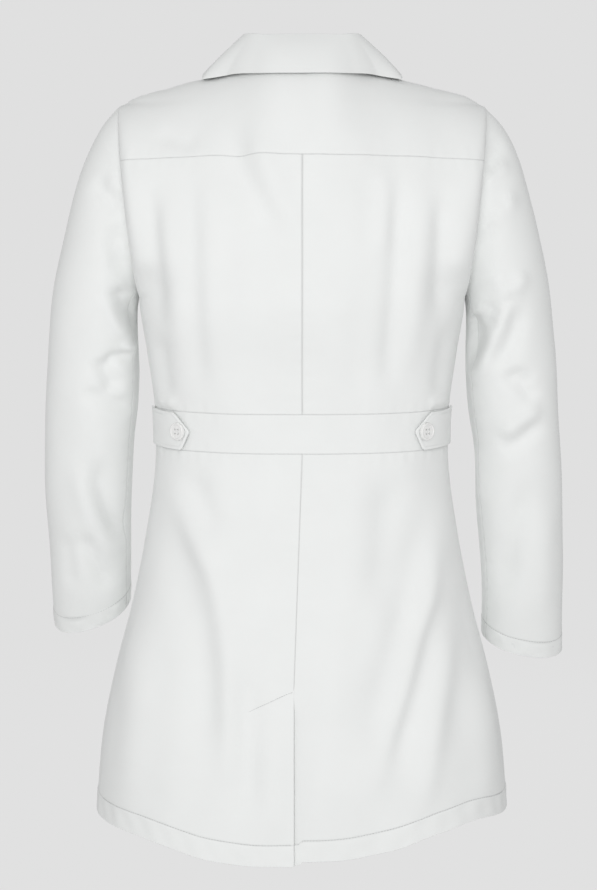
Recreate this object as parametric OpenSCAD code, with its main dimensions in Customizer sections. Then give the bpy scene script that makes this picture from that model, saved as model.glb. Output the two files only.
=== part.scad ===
/* [Body] */
// Half of the shoulder-seam-to-shoulder-seam width
shoulder_half = 204; // [195:0.5:212]
// Height of the sleeve tip of the shoulder below the back neck seam
shoulder_drop = 36; // [32:0.5:40]
// Half width of the coat at the underarm
chest_half = 185; // [180:0.5:190]
// Half width of the coat at the waist
waist_half = 169; // [164:0.5:174]
// Half width of the coat at the hem
hem_half = 247; // [240:0.5:252]
// Depth of the back from the shoulder plane at the chest
back_depth = 128; // [122:1:134]
// Depth of the front from the shoulder plane at the bust
front_depth = 136; // [130:1:142]
// Back neck seam to hem
hem_drop = 862; // [856:1:868]
// Thickness of one panel of cloth
cloth = 1.1; // [0.9:0.1:1.3]

/* [Belt and tabs] */
// Top of the belt below the back neck seam
belt_top = 371; // [366:1:374]
// Height of the belt
belt_h = 43; // [40:0.5:44]
// Height of each tab where it is sewn in
tab_h = 42; // [38:0.5:43]
// Diameter of every button
button_d = 20; // [16:0.5:21]

/* [Vent] */
// Top of the vent below the back neck seam
vent_drop = 668; // [660:1:676]
// Width of the vent flap's fold at the hem
vent_w = 68; // [50:1:72]

/* [Front] */
// Lapel break point below the back neck seam
break_drop = 285; // [280:1:292]
// How far each front edge runs past the centre line
lap = 18; // [16:0.5:19]
// Distance of the fold line from the centre line at the hem
fold_hem = 88; // [80:1:92]
// Spacing of the four front buttons
button_gap = 112; // [100:1:115]

/* [Pockets] */
// Width of each lower pocket
pocket_w = 130; // [120:1:135]
// Height of each lower pocket
pocket_h = 165; // [150:1:170]
// How far a pocket's mouth stands open
pocket_gape = 12; // [10:0.5:14]

/* [Collar] */
// Height of the collar above the back neck seam
collar_up = 31; // [29:0.5:33]
// Collar's half width along its upper edge
collar_top_half = 63; // [60:0.5:65]
// Collar's half width along its lower edge
collar_edge_half = 110; // [107:0.5:112]

/* [Hidden] */

$fn = 40;
WHITE = "white";
SHADE = "whitesmoke";
INNER = "gainsboro";

LEFT = 1;                    // wearer's left is +X
RIGHT = -1;
BACK = 1;                    // the back faces +Y
FRONT = -1;
round_n = 2.5;               // how square the body's plan is
roll_p = 2.2;                // how quickly the shoulder rolls over
arm_z = -245;                // underarm level
arm_half_h = (-arm_z - shoulder_drop) / 2;
arm_mid_z = (arm_z - shoulder_drop) / 2;
arm_half_w = 58;             // half the armhole's width front to back
neck_half = 72;              // half the neck's width on the shoulder line
neck_back = 68;              // how far the back neck seam lies behind the shoulder line
seam = 0.25;                 // half the gap left for a seam
layer = 1.6;                 // clear space between two layers of cloth
yoke_z = -96;                // yoke seam at the centre back
yoke_end_z = -100;
hem_turn = 24;               // depth of a turned hem
above = 20;                  // a level over the whole shoulder line

// Smooth step from 0 to 1 as t goes from 0 to 1
function ease(t) = let (c = min(1, max(0, t))) c * c * (3 - 2 * c);
function mix(a, b, t) = a + (b - a) * t;
function unit(v) = v / norm(v);

// Half width of the body at a level, and its depth behind or in front of the shoulder plane
function half_w(z) =
    z >= arm_z
        ? mix(chest_half, shoulder_half, pow((z - arm_z) / (2 * arm_half_h), 1.15))
        : lookup(z, [[-hem_drop, hem_half], [-749, hem_half - 12], [-680, hem_half - 27],
                     [-606, hem_half - 47], [-515, waist_half + 12], [-440, waist_half + 1],
                     [-380, waist_half], [-310, waist_half + 8], [arm_z, chest_half]]);
function depth(side, z) =
    side == BACK
        ? lookup(z, [[-hem_drop, 162], [-680, 148], [-550, 128], [-450, 112], [-390, 107],
                     [-330, 112], [arm_z, back_depth]])
        : lookup(z, [[-hem_drop, 150], [-550, 134], [-390, front_depth - 8], [arm_z, front_depth]]);

// Top of the cloth over each point of the shoulder line
function shoulder_z(x) =
    lookup(abs(x), [[0, 0], [neck_half, 2], [114, -7], [141, -13], [176, -22],
                    [shoulder_half, -shoulder_drop]]);
function neck_y(x) = abs(x) < neck_half ? neck_back * sqrt(1 - pow(x / neck_half, 2)) : 0;
function arm_y(z) =
    z <= arm_z ? 0 : arm_half_w * sqrt(max(0, 1 - pow((z - arm_mid_z) / arm_half_h, 2)));

// a is the angle from the centre line to the side, from -90 on the right to 90 on the left
function across(a) = sign(a) * pow(abs(sin(a)), 2 / round_n);
function angle_at(x, z) =
    let (s = min(1, abs(x) / half_w(z))) sign(x) * asin(pow(s, round_n / 2));
function top_z(a, side) = shoulder_z(across(a) * shoulder_half);

function skin(side, a, z) =
    let (s = across(a), c = pow(cos(a), 2 / round_n), top = top_z(a, side),
         zz = min(z, top), x = s * half_w(zz))
    zz <= arm_z
        ? [x, side * depth(side, zz) * c, zz]
        : let (t = (top - zz) / (top - arm_z), g = pow(max(0, 1 - pow(1 - t, roll_p)), 1 / roll_p),
               y0 = side == BACK ? neck_y(s * shoulder_half) : 0)
          [x, side * (mix(y0, depth(side, arm_z) * c, g) + arm_y(zz) * pow(abs(s), 6)), zz];

// Straight out of the cloth
function out(p) = unit([0.45 * p[0], p[1], max(0, 1.2 * (p[2] + 130))]);
function lift(p, d) = p + d * out(p);

// A closed sheet between two grids of points of the same size
module sheet(g1, g0) {
    r = len(g1);
    c = len(g1[0]);
    n = r * c;
    function id(i, j) = i * c + j;
    polyhedron(
        points = [for (row = g1) each row, for (row = g0) each row],
        faces = [
            for (i = [0 : r - 2], j = [0 : c - 2]) each [
                [id(i, j), id(i, j + 1), id(i + 1, j + 1)],
                [id(i, j), id(i + 1, j + 1), id(i + 1, j)],
                [n + id(i, j), n + id(i + 1, j + 1), n + id(i, j + 1)],
                [n + id(i, j), n + id(i + 1, j), n + id(i + 1, j + 1)]],
            for (j = [0 : c - 2]) each [
                [id(0, j), n + id(0, j + 1), id(0, j + 1)],
                [id(0, j), n + id(0, j), n + id(0, j + 1)],
                [id(r - 1, j), id(r - 1, j + 1), n + id(r - 1, j + 1)],
                [id(r - 1, j), n + id(r - 1, j + 1), n + id(r - 1, j)]],
            for (i = [0 : r - 2]) each [
                [id(i, 0), id(i + 1, 0), n + id(i + 1, 0)],
                [id(i, 0), n + id(i + 1, 0), n + id(i, 0)],
                [id(i, c - 1), n + id(i + 1, c - 1), id(i + 1, c - 1)],
                [id(i, c - 1), n + id(i, c - 1), n + id(i + 1, c - 1)]]
        ]);
}

// A panel of the body. x0 and x1 give its sides at each level, z0 and z1 its lower and upper
// edges at each angle, and d the height of its outer face over the cloth.
module panel(side, x0, x1, z0, z1, nx, nz, d = 0, thick = cloth) {
    flip = side == BACK ? 1 : -1;
    function spot(i, j) =
        let (zr = mix(z0(0), z1(0), i / nz),
             a0 = angle_at(x0(zr), zr), a1 = angle_at(x1(zr), zr),
             a = flip > 0 ? mix(a0, a1, j / nx) : mix(a1, a0, j / nx),
             z = mix(z0(a), min(z1(a), top_z(a, side)), i / nz))
        skin(side, a, z);
    g1 = [for (i = [0 : nz]) [for (j = [0 : nx]) lift(spot(i, j), d)]];
    g0 = [for (i = [0 : nz]) [for (j = [0 : nx]) lift(spot(i, j), d - thick)]];
    sheet(g1, g0);
}

// Seams of the body
function yoke_seam(a) = mix(yoke_z, yoke_end_z, pow(abs(across(a)), 3));
side_gap = 0.00004;          // keeps the side seam's two edges about 0.4 mm either side of it
function to_side(z) = half_w(z) - side_gap;

// ---- Back -------------------------------------------------------------------------------
module back_half(s, z0, z1, nx, nz, inner, d = 0, thick = cloth, short = 0) {
    if (s == LEFT)
        panel(BACK, function (z) inner, function (z) to_side(z) - short, z0, z1, nx, nz, d, thick);
    else
        panel(BACK, function (z) -to_side(z) + short, function (z) -inner, z0, z1, nx, nz, d, thick);
}

module back_yoke() {
    color(WHITE)
        panel(BACK, function (z) -to_side(z), function (z) to_side(z),
              function (a) yoke_seam(a) + seam, function (a) above, 30, 9);
}

module back_upper(s) {
    color(WHITE)
        back_half(s, function (a) -belt_top + seam, function (a) yoke_seam(a) - seam, 12, 14, seam);
}

module back_belt() {
    color(SHADE)
        panel(BACK, function (z) -to_side(z), function (z) to_side(z),
              function (a) -belt_top - belt_h + seam, function (a) -belt_top - seam, 26, 2);
}

lining_in = 14;              // how far the belt's lining stops short of the side seams
module belt_lining() {
    color(INNER)
        panel(BACK, function (z) -to_side(z) + lining_in, function (z) to_side(z) - lining_in,
              function (a) -belt_top - belt_h + 1, function (a) -belt_top - 1, 24, 2,
              d = -cloth - layer);
}

// Below the belt the centre seam drifts to the left, down to the vent. The left half stops at the
// vent fold, and the flap beyond it lies over an extension of the right half.
vent_edge = 9;               // how far the flap's free edge lies to the left of the centre
vent_under = 44;             // width of the extension under the flap
belt_bottom = -belt_top - belt_h;
function centre_seam(z) = vent_edge * min(1, max(0, (belt_bottom - z) / (belt_bottom + vent_drop)));
function vent_fold(z) = vent_edge + vent_w * max(0, (-vent_drop - z) / (hem_drop - vent_drop));

module back_lower_left() {
    color(WHITE) {
        panel(BACK, function (z) centre_seam(z) + seam, function (z) to_side(z),
              function (a) -vent_drop, function (a) belt_bottom - seam, 12, 10);
        panel(BACK, function (z) vent_fold(z) + seam, function (z) to_side(z),
              function (a) -hem_drop, function (a) -vent_drop, 12, 8);
    }
}

module back_lower_right() {
    color(WHITE)
        panel(BACK, function (z) -to_side(z), function (z) centre_seam(z) - seam,
              function (a) -hem_drop + 4, function (a) belt_bottom - seam, 12, 16);
}

module vent_flap() {
    color(SHADE)
        panel(BACK, function (z) vent_edge + 0.6, function (z) vent_fold(z) - seam - 0.3,
              function (a) -hem_drop, function (a) -vent_drop - 8, 4, 8);
}

module vent_underlap() {
    color(INNER)
        panel(BACK, function (z) vent_edge - 3, function (z) vent_edge + vent_under,
              function (a) -hem_drop + 5, function (a) -vent_drop + 4, 4, 8, d = -cloth - layer);
}

facing_half = 58;            // half width of the facing inside the back neck
facing_low = -62;
module back_neck_facing() {
    color(INNER)
        panel(BACK, function (z) -facing_half, function (z) facing_half,
              function (a) facing_low, function (a) top_z(a, BACK) - 9, 16, 4,
              d = -cloth - 2 * layer);
}

// A flat loop of tape, sewn at both ends and standing off the facing in between
loop_half = 34;
loop_z = -18;
module hanger_loop() {
    tape = 7;
    tape_t = 1.2;
    bow = 8;
    n = 12;
    function run(i) = let (x = mix(-loop_half, loop_half, i / n)) [x, -bow * (1 - pow(x / loop_half, 4))];
    color(INNER)
        translate([0, neck_back - 6.5, loop_z])
            linear_extrude(tape)
                polygon([for (i = [0 : n]) run(i), for (i = [n : -1 : 0]) run(i) + [0, tape_t]]);
}

// ---- Front ------------------------------------------------------------------------------
break_z = -break_drop;
princess_top = 128;          // where the princess seam meets the armhole side of the chest
princess_hem = 150;
function princess_x(z) =
    lookup(z, [[-hem_drop, princess_hem], [-390, 96], [arm_z, 108], [0, princess_top]]);
function roll_x(z) = mix(lap, neck_half + 3, pow(max(0, z - break_z) / (break_drop + 2), 0.9));
function fold_x(z) = mix(lap + 4, fold_hem, max(0, break_z - z) / (hem_drop - break_drop));

module front_panel(s, x0, x1, z0, z1, nx, nz, d = 0, thick = cloth) {
    if (s == LEFT)
        panel(FRONT, x0, x1, z0, z1, nx, nz, d, thick);
    else
        panel(FRONT, function (z) -x1(z), function (z) -x0(z), z0, z1, nx, nz, d, thick);
}

module front_side(s) {
    color(WHITE) {
        front_panel(s, function (z) princess_x(z) + seam, function (z) to_side(z),
                    function (a) break_z, function (a) above, 8, 12);
        front_panel(s, function (z) princess_x(z) + seam, function (z) to_side(z),
                    function (a) -hem_drop, function (a) break_z, 8, 16);
    }
}

module front_body(s) {
    color(WHITE) {
        front_panel(s, function (z) roll_x(z) + seam, function (z) princess_x(z) - seam,
                    function (a) break_z, function (a) above, 6, 12);
        front_panel(s, function (z) fold_x(z) + seam + 0.3, function (z) princess_x(z) - seam,
                    function (a) -hem_drop, function (a) break_z, 4, 16);
    }
}

// The free edge of each front, from the fold line to the lapped edge. The right lies over the left.
function over(s) = s == RIGHT ? 2 * layer + cloth : 0;
module front_edge(s) {
    color(SHADE)
        front_panel(s, function (z) -lap, function (z) fold_x(z) - 1.2,
                    function (a) -hem_drop, function (a) break_z - 3, 6, 16, d = over(s));
}

module front_facing(s) {
    color(INNER)
        front_panel(s, function (z) roll_x(z) + 3, function (z) roll_x(z) + 34,
                    function (a) break_z + 4, function (a) -30, 3, 8, d = -cloth - layer);
}

button_top_z = break_z - 22;
module band_blank(s, d) {
    front_panel(s, function (z) -lap + 1.5, function (z) lap - 1,
                function (a) -hem_drop + 2, function (a) break_z - 5, 4, 16, d = d);
}

module button_band() {
    color(INNER) band_blank(LEFT, -cloth - 0.4);
}

module buttonhole_band() {
    color(INNER) band_blank(RIGHT, over(RIGHT) - cloth - 0.4);
}

// ---- Lapels and collar --------------------------------------------------------------------
notch_z = -74;
function lapel_edge(z) =
    roll_x(z) + mix(3, 62, sin(90 * pow(max(0, z - break_z) / (notch_z - break_z), 0.85)));
module lapel(s) {
    color(SHADE)
        front_panel(s, function (z) roll_x(z) + 0.8, function (z) lapel_edge(z),
                    function (a) break_z + 6, function (a) notch_z, 5, 12, d = layer + cloth + 0.6);
}

// A point of the front at x whose depth in front of the shoulder line is y
function on_front(x, y) =
    let (a = asin(pow(x / shoulder_half, round_n / 2)),
         g = min(1, y / (front_depth * pow(cos(a), 2 / round_n))),
         t = 1 - pow(1 - pow(g, roll_p), 1 / roll_p))
    skin(FRONT, a, mix(shoulder_z(x), arm_z, t));

// The collar runs round the neck. b is the angle from the centre back: up to 90 it follows an
// oval, and from there to its front end it lies along the front, y deep at the end.
collar_end = 138;
function collar_run(b, w0, w1, back, z0, z90, y, up0, up1) =
    let (c = abs(b), u = max(0, c - 90) / (collar_end - 90), q = on_front(mix(w0, w1, u), y * u))
    c <= 90
        ? [w0 * sin(b), back * cos(b), mix(z0, z90, pow(c / 90, 2))]
        : [sign(b) * q[0], q[1], q[2] + mix(up0, up1, u)];
function neck_line(b) = collar_run(b, neck_half - 4, 62, neck_back - 3, 1.5, 5, 76, 3.1, 2);
function roll_line(b) = collar_run(b, collar_top_half, 67, 62, collar_up, 28.5, 79, 26.7, 5);
function edge_line(b) = collar_run(b, collar_edge_half, 100, 98, -8, -1.5, 84, 4.6, 6);

// Straight out of a leaf between the lines p and q
function leaf_normal(p, q, b) = unit(cross(q(b) - p(b), p(b + 1) - p(b - 1) + q(b + 1) - q(b - 1)));

module collar_leaf(p, q, t0, t1, bow, d, nb = 40, nt = 4) {
    function spot(i, j, e) =
        let (b = mix(-collar_end, collar_end, j / nb), t = mix(t0, t1, i / nt))
        mix(p(b), q(b), t) + (4 * bow * t * (1 - t) + e) * leaf_normal(p, q, b);
    g1 = [for (i = [0 : nt]) [for (j = [0 : nb]) spot(i, j, d)]];
    g0 = [for (i = [0 : nt]) [for (j = [0 : nb]) spot(i, j, d - cloth)]];
    sheet(g1, g0);
}

module collar_stand() {
    color(INNER)
        collar_leaf(function (b) neck_line(b), function (b) roll_line(b), 0, 0.9, 0, -2.4);
}

module collar_fall() {
    color(WHITE)
        collar_leaf(function (b) edge_line(b), function (b) roll_line(b), 0, 1, 6, 0);
}

module collar_lining() {
    color(INNER)
        collar_leaf(function (b) edge_line(b), function (b) roll_line(b), 0.05, 0.88, 6, -cloth - 0.7);
}

// ---- Sleeves ------------------------------------------------------------------------------
// Each row: outer edge x z, inner edge x z, shift in y, half depth in y, forward lean in degrees
SLEEVE_LEFT = [
    [204, -36, 185, -245, 0, 58, 0],    [226, -64, 187, -250, 0, 60, 0],
    [247, -112, 189, -262, 0, 62, 0],   [264, -168, 190, -282, -2, 62, 0],
    [281, -230, 190, -308, -4, 60, 0],  [291, -290, 190, -340, -6, 57, 0],
    [297, -350, 192, -376, -9, 54, 2],  [301, -410, 198, -420, -14, 51, 6],
    [304, -466, 202, -466, -22, 49, 11], [305, -520, 205, -516, -33, 47, 16],
    [306, -575, 208, -566, -47, 45, 20], [307, -640, 212, -626, -67, 43, 23]];
SLEEVE_RIGHT = [
    [204, -36, 185, -245, 0, 58, 0],    [229, -68, 187, -250, 0, 60, 0],
    [250, -112, 189, -262, 0, 62, 0],   [268, -172, 190, -282, -2, 62, 0],
    [283, -235, 190, -306, -4, 60, 0],  [291, -300, 191, -338, -5, 57, 0],
    [296, -362, 195, -378, -7, 54, 2],  [303, -425, 203, -430, -11, 51, 4],
    [309, -490, 207, -488, -17, 49, 8], [313, -550, 213, -545, -25, 47, 11],
    [316, -610, 219, -603, -35, 45, 13], [319, -672, 221, -661, -48, 43, 14]];
function sleeve_row(s, k) =
    let (t = s == LEFT ? SLEEVE_LEFT : SLEEVE_RIGHT, i = min(len(t) - 2, floor(k)))
    mix(t[i], t[i + 1], k - i);

// k counts rows down the sleeve, q is 0 on the outside, 90 behind, 180 inside and 270 in front
function sleeve(s, k, q, d) =
    let (m = sleeve_row(s, k), c = [(m[0] + m[2]) / 2, m[4], (m[1] + m[3]) / 2],
         u = [(m[0] - m[2]) / 2, 0, (m[1] - m[3]) / 2], long = norm(u),
         v = [0, cos(m[6]), -sin(m[6])],
         p = c + u * cos(q) * (long + d) / long + v * sin(q) * (m[5] + d),
         z0 = arm_mid_z + (arm_half_h + d) * cos(q),
         p0 = [half_w(z0) + 2.2, (arm_half_w + d) * sin(q), z0],
         w = ease(k / 2), r = mix(p0, p, k < 2 ? w : 1))
    [s * r[0], r[1], r[2]];

module sleeve_sheet(s, k0, k1, nk, q0, q1, nq, d) {
    a = s == LEFT ? q0 : q1;
    b = s == LEFT ? q1 : q0;
    function spot(i, j, e) = sleeve(s, mix(k0, k1, i / nk), mix(b, a, j / nq), e);
    g1 = [for (i = [0 : nk]) [for (j = [0 : nq]) spot(i, j, d)]];
    g0 = [for (i = [0 : nk]) [for (j = [0 : nq]) spot(i, j, d - cloth)]];
    sheet(g0, g1);
}

back_sleeve_seam = 158;      // where the two seams along the sleeve lie, as angles from outside
front_sleeve_seam = 128;
seam_turn = 0.3;             // half of a sleeve seam's gap, as an angle
cuff_k = len(SLEEVE_LEFT) - 1;
module top_sleeve(s) {
    color(WHITE)
        sleeve_sheet(s, 0, cuff_k, 22, -front_sleeve_seam + seam_turn, back_sleeve_seam - seam_turn,
                     20, 0);
}

module under_sleeve(s) {
    color(SHADE)
        sleeve_sheet(s, 0, cuff_k, 22, back_sleeve_seam + seam_turn,
                     360 - front_sleeve_seam - seam_turn, 6, 0);
}

module sleeve_hem(s) {
    color(INNER) sleeve_sheet(s, cuff_k - 0.38, cuff_k - 0.02, 2, -178, 178, 28, -cloth - 0.5);
}

// ---- Pockets --------------------------------------------------------------------------------
patch_off = 2.4;             // clear space under a patch's sewn edges

// A patch sewn on three sides and open along its top, between x0 and x1 at each level
module patch(s, x0, x1, top, h, gape) {
    nx = 10;
    nz = 8;
    function spot(i, j, d) =
        let (t = i / nz, u = j / nx, z = top - h * (1 - t),
             a = angle_at(mix(x0(z), x1(z), u), z),
             puff = gape * pow(max(0, sin(180 * u)), 0.7) * sin(90 * min(1, 1.8 * t)))
        lift(skin(FRONT, s * a, z), patch_off + puff + d);
    g1 = [for (i = [0 : nz]) [for (j = [0 : nx]) spot(i, s == LEFT ? nx - j : j, cloth)]];
    g0 = [for (i = [0 : nz]) [for (j = [0 : nx]) spot(i, s == LEFT ? nx - j : j, 0)]];
    sheet(g1, g0);
}

pocket_in = 82;              // inner side of a lower pocket, parallel to the front edge
pocket_top = -505;
module lower_pocket(s) {
    color(SHADE)
        patch(s, function (z) pocket_in,
              function (z) pocket_in + pocket_w * mix(0.72, 0.88, (pocket_top - z) / pocket_h),
              pocket_top, pocket_h, pocket_gape);
}

chest_pocket_top = -178;
chest_pocket_h = 92;
module chest_pocket() {
    color(SHADE)
        patch(LEFT, function (z) 92, function (z) 158, chest_pocket_top, chest_pocket_h,
              pocket_gape - 1);
}

// ---- Belt tabs --------------------------------------------------------------------------------
tab_mid_z = -belt_top - belt_h / 2;
tab_root = 166;              // where the tab is sewn in, measured along x
tab_tip = 117;
tab_off = 2 * layer;         // clear space between the belt and the tab
module tab_sheet(s, d, inset) {
    nx = 10;
    nz = 4;
    point = 0.72;            // how far along the tab its point begins
    function half_h(u) = mix(tab_h / 2 - inset, 4, max(0, u - point) / (1 - point));
    function spot(i, j, e) =
        let (u = j / nx, x = mix(tab_root - inset, tab_tip + inset, u),
             z = tab_mid_z + half_h(u) * (2 * i / nz - 1), a = angle_at(x, z))
        lift(skin(BACK, s * a, z), d + e);
    g1 = [for (i = [0 : nz]) [for (j = [0 : nx]) spot(i, s == LEFT ? nx - j : j, cloth)]];
    g0 = [for (i = [0 : nz]) [for (j = [0 : nx]) spot(i, s == LEFT ? nx - j : j, 0)]];
    sheet(g0, g1);
}

module tab(s) {
    color(WHITE) tab_sheet(s, tab_off + cloth + 0.4, 0);
}

module tab_lining(s) {
    color(INNER) tab_sheet(s, tab_off, 1.2);
}

// ---- Buttons --------------------------------------------------------------------------------
button_t = 3;
rim = 1.6;
hole_r = 1.1;
hole_off = 2.2;
module button() {
    difference() {
        union() {
            cylinder(d = button_d, h = button_t - 1);
            translate([0, 0, button_t - 1])
                rotate_extrude()
                    translate([button_d / 2 - rim, 0]) intersection() {
                        circle(r = 1);
                        translate([-1, 0]) square([2, 1]);
                    }
        }
        for (x = [-1, 1], y = [-1, 1])
            translate([x * hole_off, y * hole_off, -1]) cylinder(r = hole_r, h = button_t + 2);
    }
}

// Two crossings of thread, through the holes and down to the cloth
module thread(down) {
    for (x = [-1, 1]) translate([x * hole_off, 0, 0]) {
        translate([-0.4, -hole_off - 0.4, button_t - 0.95]) cube([0.8, 2 * hole_off + 0.8, 0.5]);
        for (y = [-1, 1])
            translate([0, y * hole_off, -down])
                cylinder(r = 0.4, h = down + button_t - 0.9, $fn = 16);
    }
}

// Places a button's base over the cloth at x, z and facing straight out of it
module on_cloth(side, x, z, d) {
    p = skin(side, angle_at(x, z), z);
    n = out(p);
    translate(lift(p, d))
        rotate([0, 0, atan2(n[1], n[0])]) rotate([0, acos(n[2]), 0]) rotate([0, 0, 90]) children();
}

tab_button_x = 133;
tab_button_d = tab_off + 2 * cloth + 1.4;
module tab_button(s) {
    color("snow") on_cloth(BACK, s * tab_button_x, tab_mid_z, tab_button_d) button();
}

front_button_d = over(RIGHT) + 1.4;
module front_buttons() {
    color("snow")
        for (i = [0 : 3]) on_cloth(FRONT, 0, button_top_z - i * button_gap, front_button_d) button();
}

module button_threads() {
    color("ivory")
        for (i = [0 : 3])
            on_cloth(FRONT, 0, button_top_z - i * button_gap, front_button_d) thread(1.1);
}

// ---- Turned hems ------------------------------------------------------------------------------
hem_in = 4;                  // how far a turned hem stops short of a seam
module hem_back(s) {
    inner = s == LEFT ? vent_edge + vent_w + 3 : -vent_edge;
    low = s == LEFT ? 1 : 5;
    color(INNER)
        back_half(s, function (a) -hem_drop + low, function (a) -hem_drop + hem_turn, 12, 2, inner,
                  -cloth - 0.6, cloth - 0.2, hem_in);
}

module hem_front(s) {
    color(INNER)
        front_panel(s, function (z) fold_hem + 3, function (z) to_side(z) - hem_in,
                    function (b) -hem_drop + 1, function (b) -hem_drop + hem_turn, 12, 2,
                    d = -cloth - 0.6, thick = cloth - 0.2);
}

back_yoke();
back_upper(LEFT);  // back_upper_left
back_upper(RIGHT);  // back_upper_right
back_belt();
belt_lining();
back_lower_left();
back_lower_right();
vent_flap();
vent_underlap();
back_neck_facing();
hanger_loop();
front_side(LEFT);  // front_side_left
front_side(RIGHT);  // front_side_right
front_body(LEFT);  // front_left
front_body(RIGHT);  // front_right
front_edge(LEFT);  // front_edge_left
front_edge(RIGHT);  // front_edge_right
front_facing(LEFT);  // front_facing_left
front_facing(RIGHT);  // front_facing_right
button_band();
buttonhole_band();
lapel(LEFT);  // lapel_left
lapel(RIGHT);  // lapel_right
collar_stand();
collar_fall();
collar_lining();
top_sleeve(LEFT);  // top_sleeve_left
top_sleeve(RIGHT);  // top_sleeve_right
under_sleeve(LEFT);  // under_sleeve_left
under_sleeve(RIGHT);  // under_sleeve_right
sleeve_hem(LEFT);  // sleeve_hem_left
sleeve_hem(RIGHT);  // sleeve_hem_right
chest_pocket();
lower_pocket(LEFT);  // pocket_left
lower_pocket(RIGHT);  // pocket_right
tab(LEFT);  // tab_left
tab(RIGHT);  // tab_right
tab_lining(LEFT);  // tab_lining_left
tab_lining(RIGHT);  // tab_lining_right
tab_button(LEFT);  // tab_button_left
tab_button(RIGHT);  // tab_button_right
front_buttons();
button_threads();
hem_back(LEFT);  // hem_back_left
hem_back(RIGHT);  // hem_back_right
hem_front(LEFT);  // hem_front_left
hem_front(RIGHT);  // hem_front_right
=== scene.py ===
import math

import bpy
import numpy as np
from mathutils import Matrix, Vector


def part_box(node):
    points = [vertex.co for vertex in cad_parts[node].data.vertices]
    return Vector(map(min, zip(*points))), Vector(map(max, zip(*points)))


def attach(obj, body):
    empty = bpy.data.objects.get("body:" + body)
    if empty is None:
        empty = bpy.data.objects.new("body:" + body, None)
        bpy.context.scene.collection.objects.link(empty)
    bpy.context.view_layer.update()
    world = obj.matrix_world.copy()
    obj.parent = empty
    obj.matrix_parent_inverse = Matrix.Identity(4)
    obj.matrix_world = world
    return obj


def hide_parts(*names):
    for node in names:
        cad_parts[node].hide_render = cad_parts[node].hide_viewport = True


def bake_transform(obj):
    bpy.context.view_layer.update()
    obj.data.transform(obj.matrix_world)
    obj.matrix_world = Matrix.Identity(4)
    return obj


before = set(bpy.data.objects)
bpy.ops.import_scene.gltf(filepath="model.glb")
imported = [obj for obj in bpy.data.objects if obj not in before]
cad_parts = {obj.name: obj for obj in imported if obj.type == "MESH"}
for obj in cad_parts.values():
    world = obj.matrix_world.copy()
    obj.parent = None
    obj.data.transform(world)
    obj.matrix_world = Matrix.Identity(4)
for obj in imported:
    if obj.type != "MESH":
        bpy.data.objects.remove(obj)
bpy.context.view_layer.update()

# Lengths are in millimetres up to the moment a mesh is made, and then MM turns them into metres.
MM = 0.001
LEFT, RIGHT = 1, -1          # wearer's left is +X
BACK, FRONT = 1, -1          # the back faces +Y


def low(node, axis):
    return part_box(node)[0][axis] / MM


def high(node, axis):
    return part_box(node)[1][axis] / MM


# ---- Sizes, as in the CAD model ---------------------------------------------------------------
HEM_Z = low("front_side_left", 2)
SHOULDER_HALF = high("back_yoke", 0)
SHOULDER_DROP = 36.0
CHEST_HALF, WAIST_HALF, HEM_HALF = 185.0, 169.0, 247.0
BACK_DEPTH, FRONT_DEPTH = 128.0, 136.0
CLOTH = 1.1
BELT_TOP_Z = -371.0
BELT_H = 43.0
BELT_LOW_Z = BELT_TOP_Z - BELT_H
ROUND_N = 2.5
ROLL_P = 2.2
ARM_Z = -245.0
ARM_HALF_H = (-ARM_Z - SHOULDER_DROP) / 2
ARM_MID_Z = (ARM_Z - SHOULDER_DROP) / 2
ARM_HALF_W = 58.0
NECK_HALF, NECK_BACK = 72.0, 68.0
LAYER = 1.6
GAP = 0.12                   # half the gap along a seam
YOKE_Z, YOKE_END_Z = -96.0, -100.0
VENT_Z, VENT_EDGE, VENT_W, VENT_UNDER = -668.0, 9.0, 68.0, 44.0
BREAK_Z = -285.0
LAP = 18.0
FOLD_HEM = 88.0
OVER = 2 * LAYER + CLOTH     # how far the right front lies over the left
HEM_TURN = 24.0
STEP = 4.4                   # size of a mesh cell on the large panels


def ease(t):
    t = np.clip(t, 0, 1)
    return t * t * (3 - 2 * t)


def mix(a, b, t):
    return a + (b - a) * t


def unit(v):
    return v / np.maximum(np.linalg.norm(v, axis=-1, keepdims=True), 1e-9)


def bell(d, width):
    return np.exp(-(d / width) ** 2)


def smooth(x, knots):
    """A smooth curve through the knots."""
    xs, ys = np.array(sorted(knots), float).T
    h = np.diff(xs)
    slope = np.diff(ys) / h
    m = np.concatenate([slope[:1], (slope[:-1] * h[1:] + slope[1:] * h[:-1]) / (h[:-1] + h[1:]), slope[-1:]])
    x = np.clip(np.asarray(x, float), xs[0], xs[-1])
    i = np.clip(np.searchsorted(xs, x) - 1, 0, len(h) - 1)
    t = (x - xs[i]) / h[i]
    return (ys[i] * (1 + 2 * t) * (1 - t) ** 2 + ys[i + 1] * t * t * (3 - 2 * t)
            + h[i] * (m[i] * t * (1 - t) ** 2 - m[i + 1] * t * t * (1 - t)))


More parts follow.
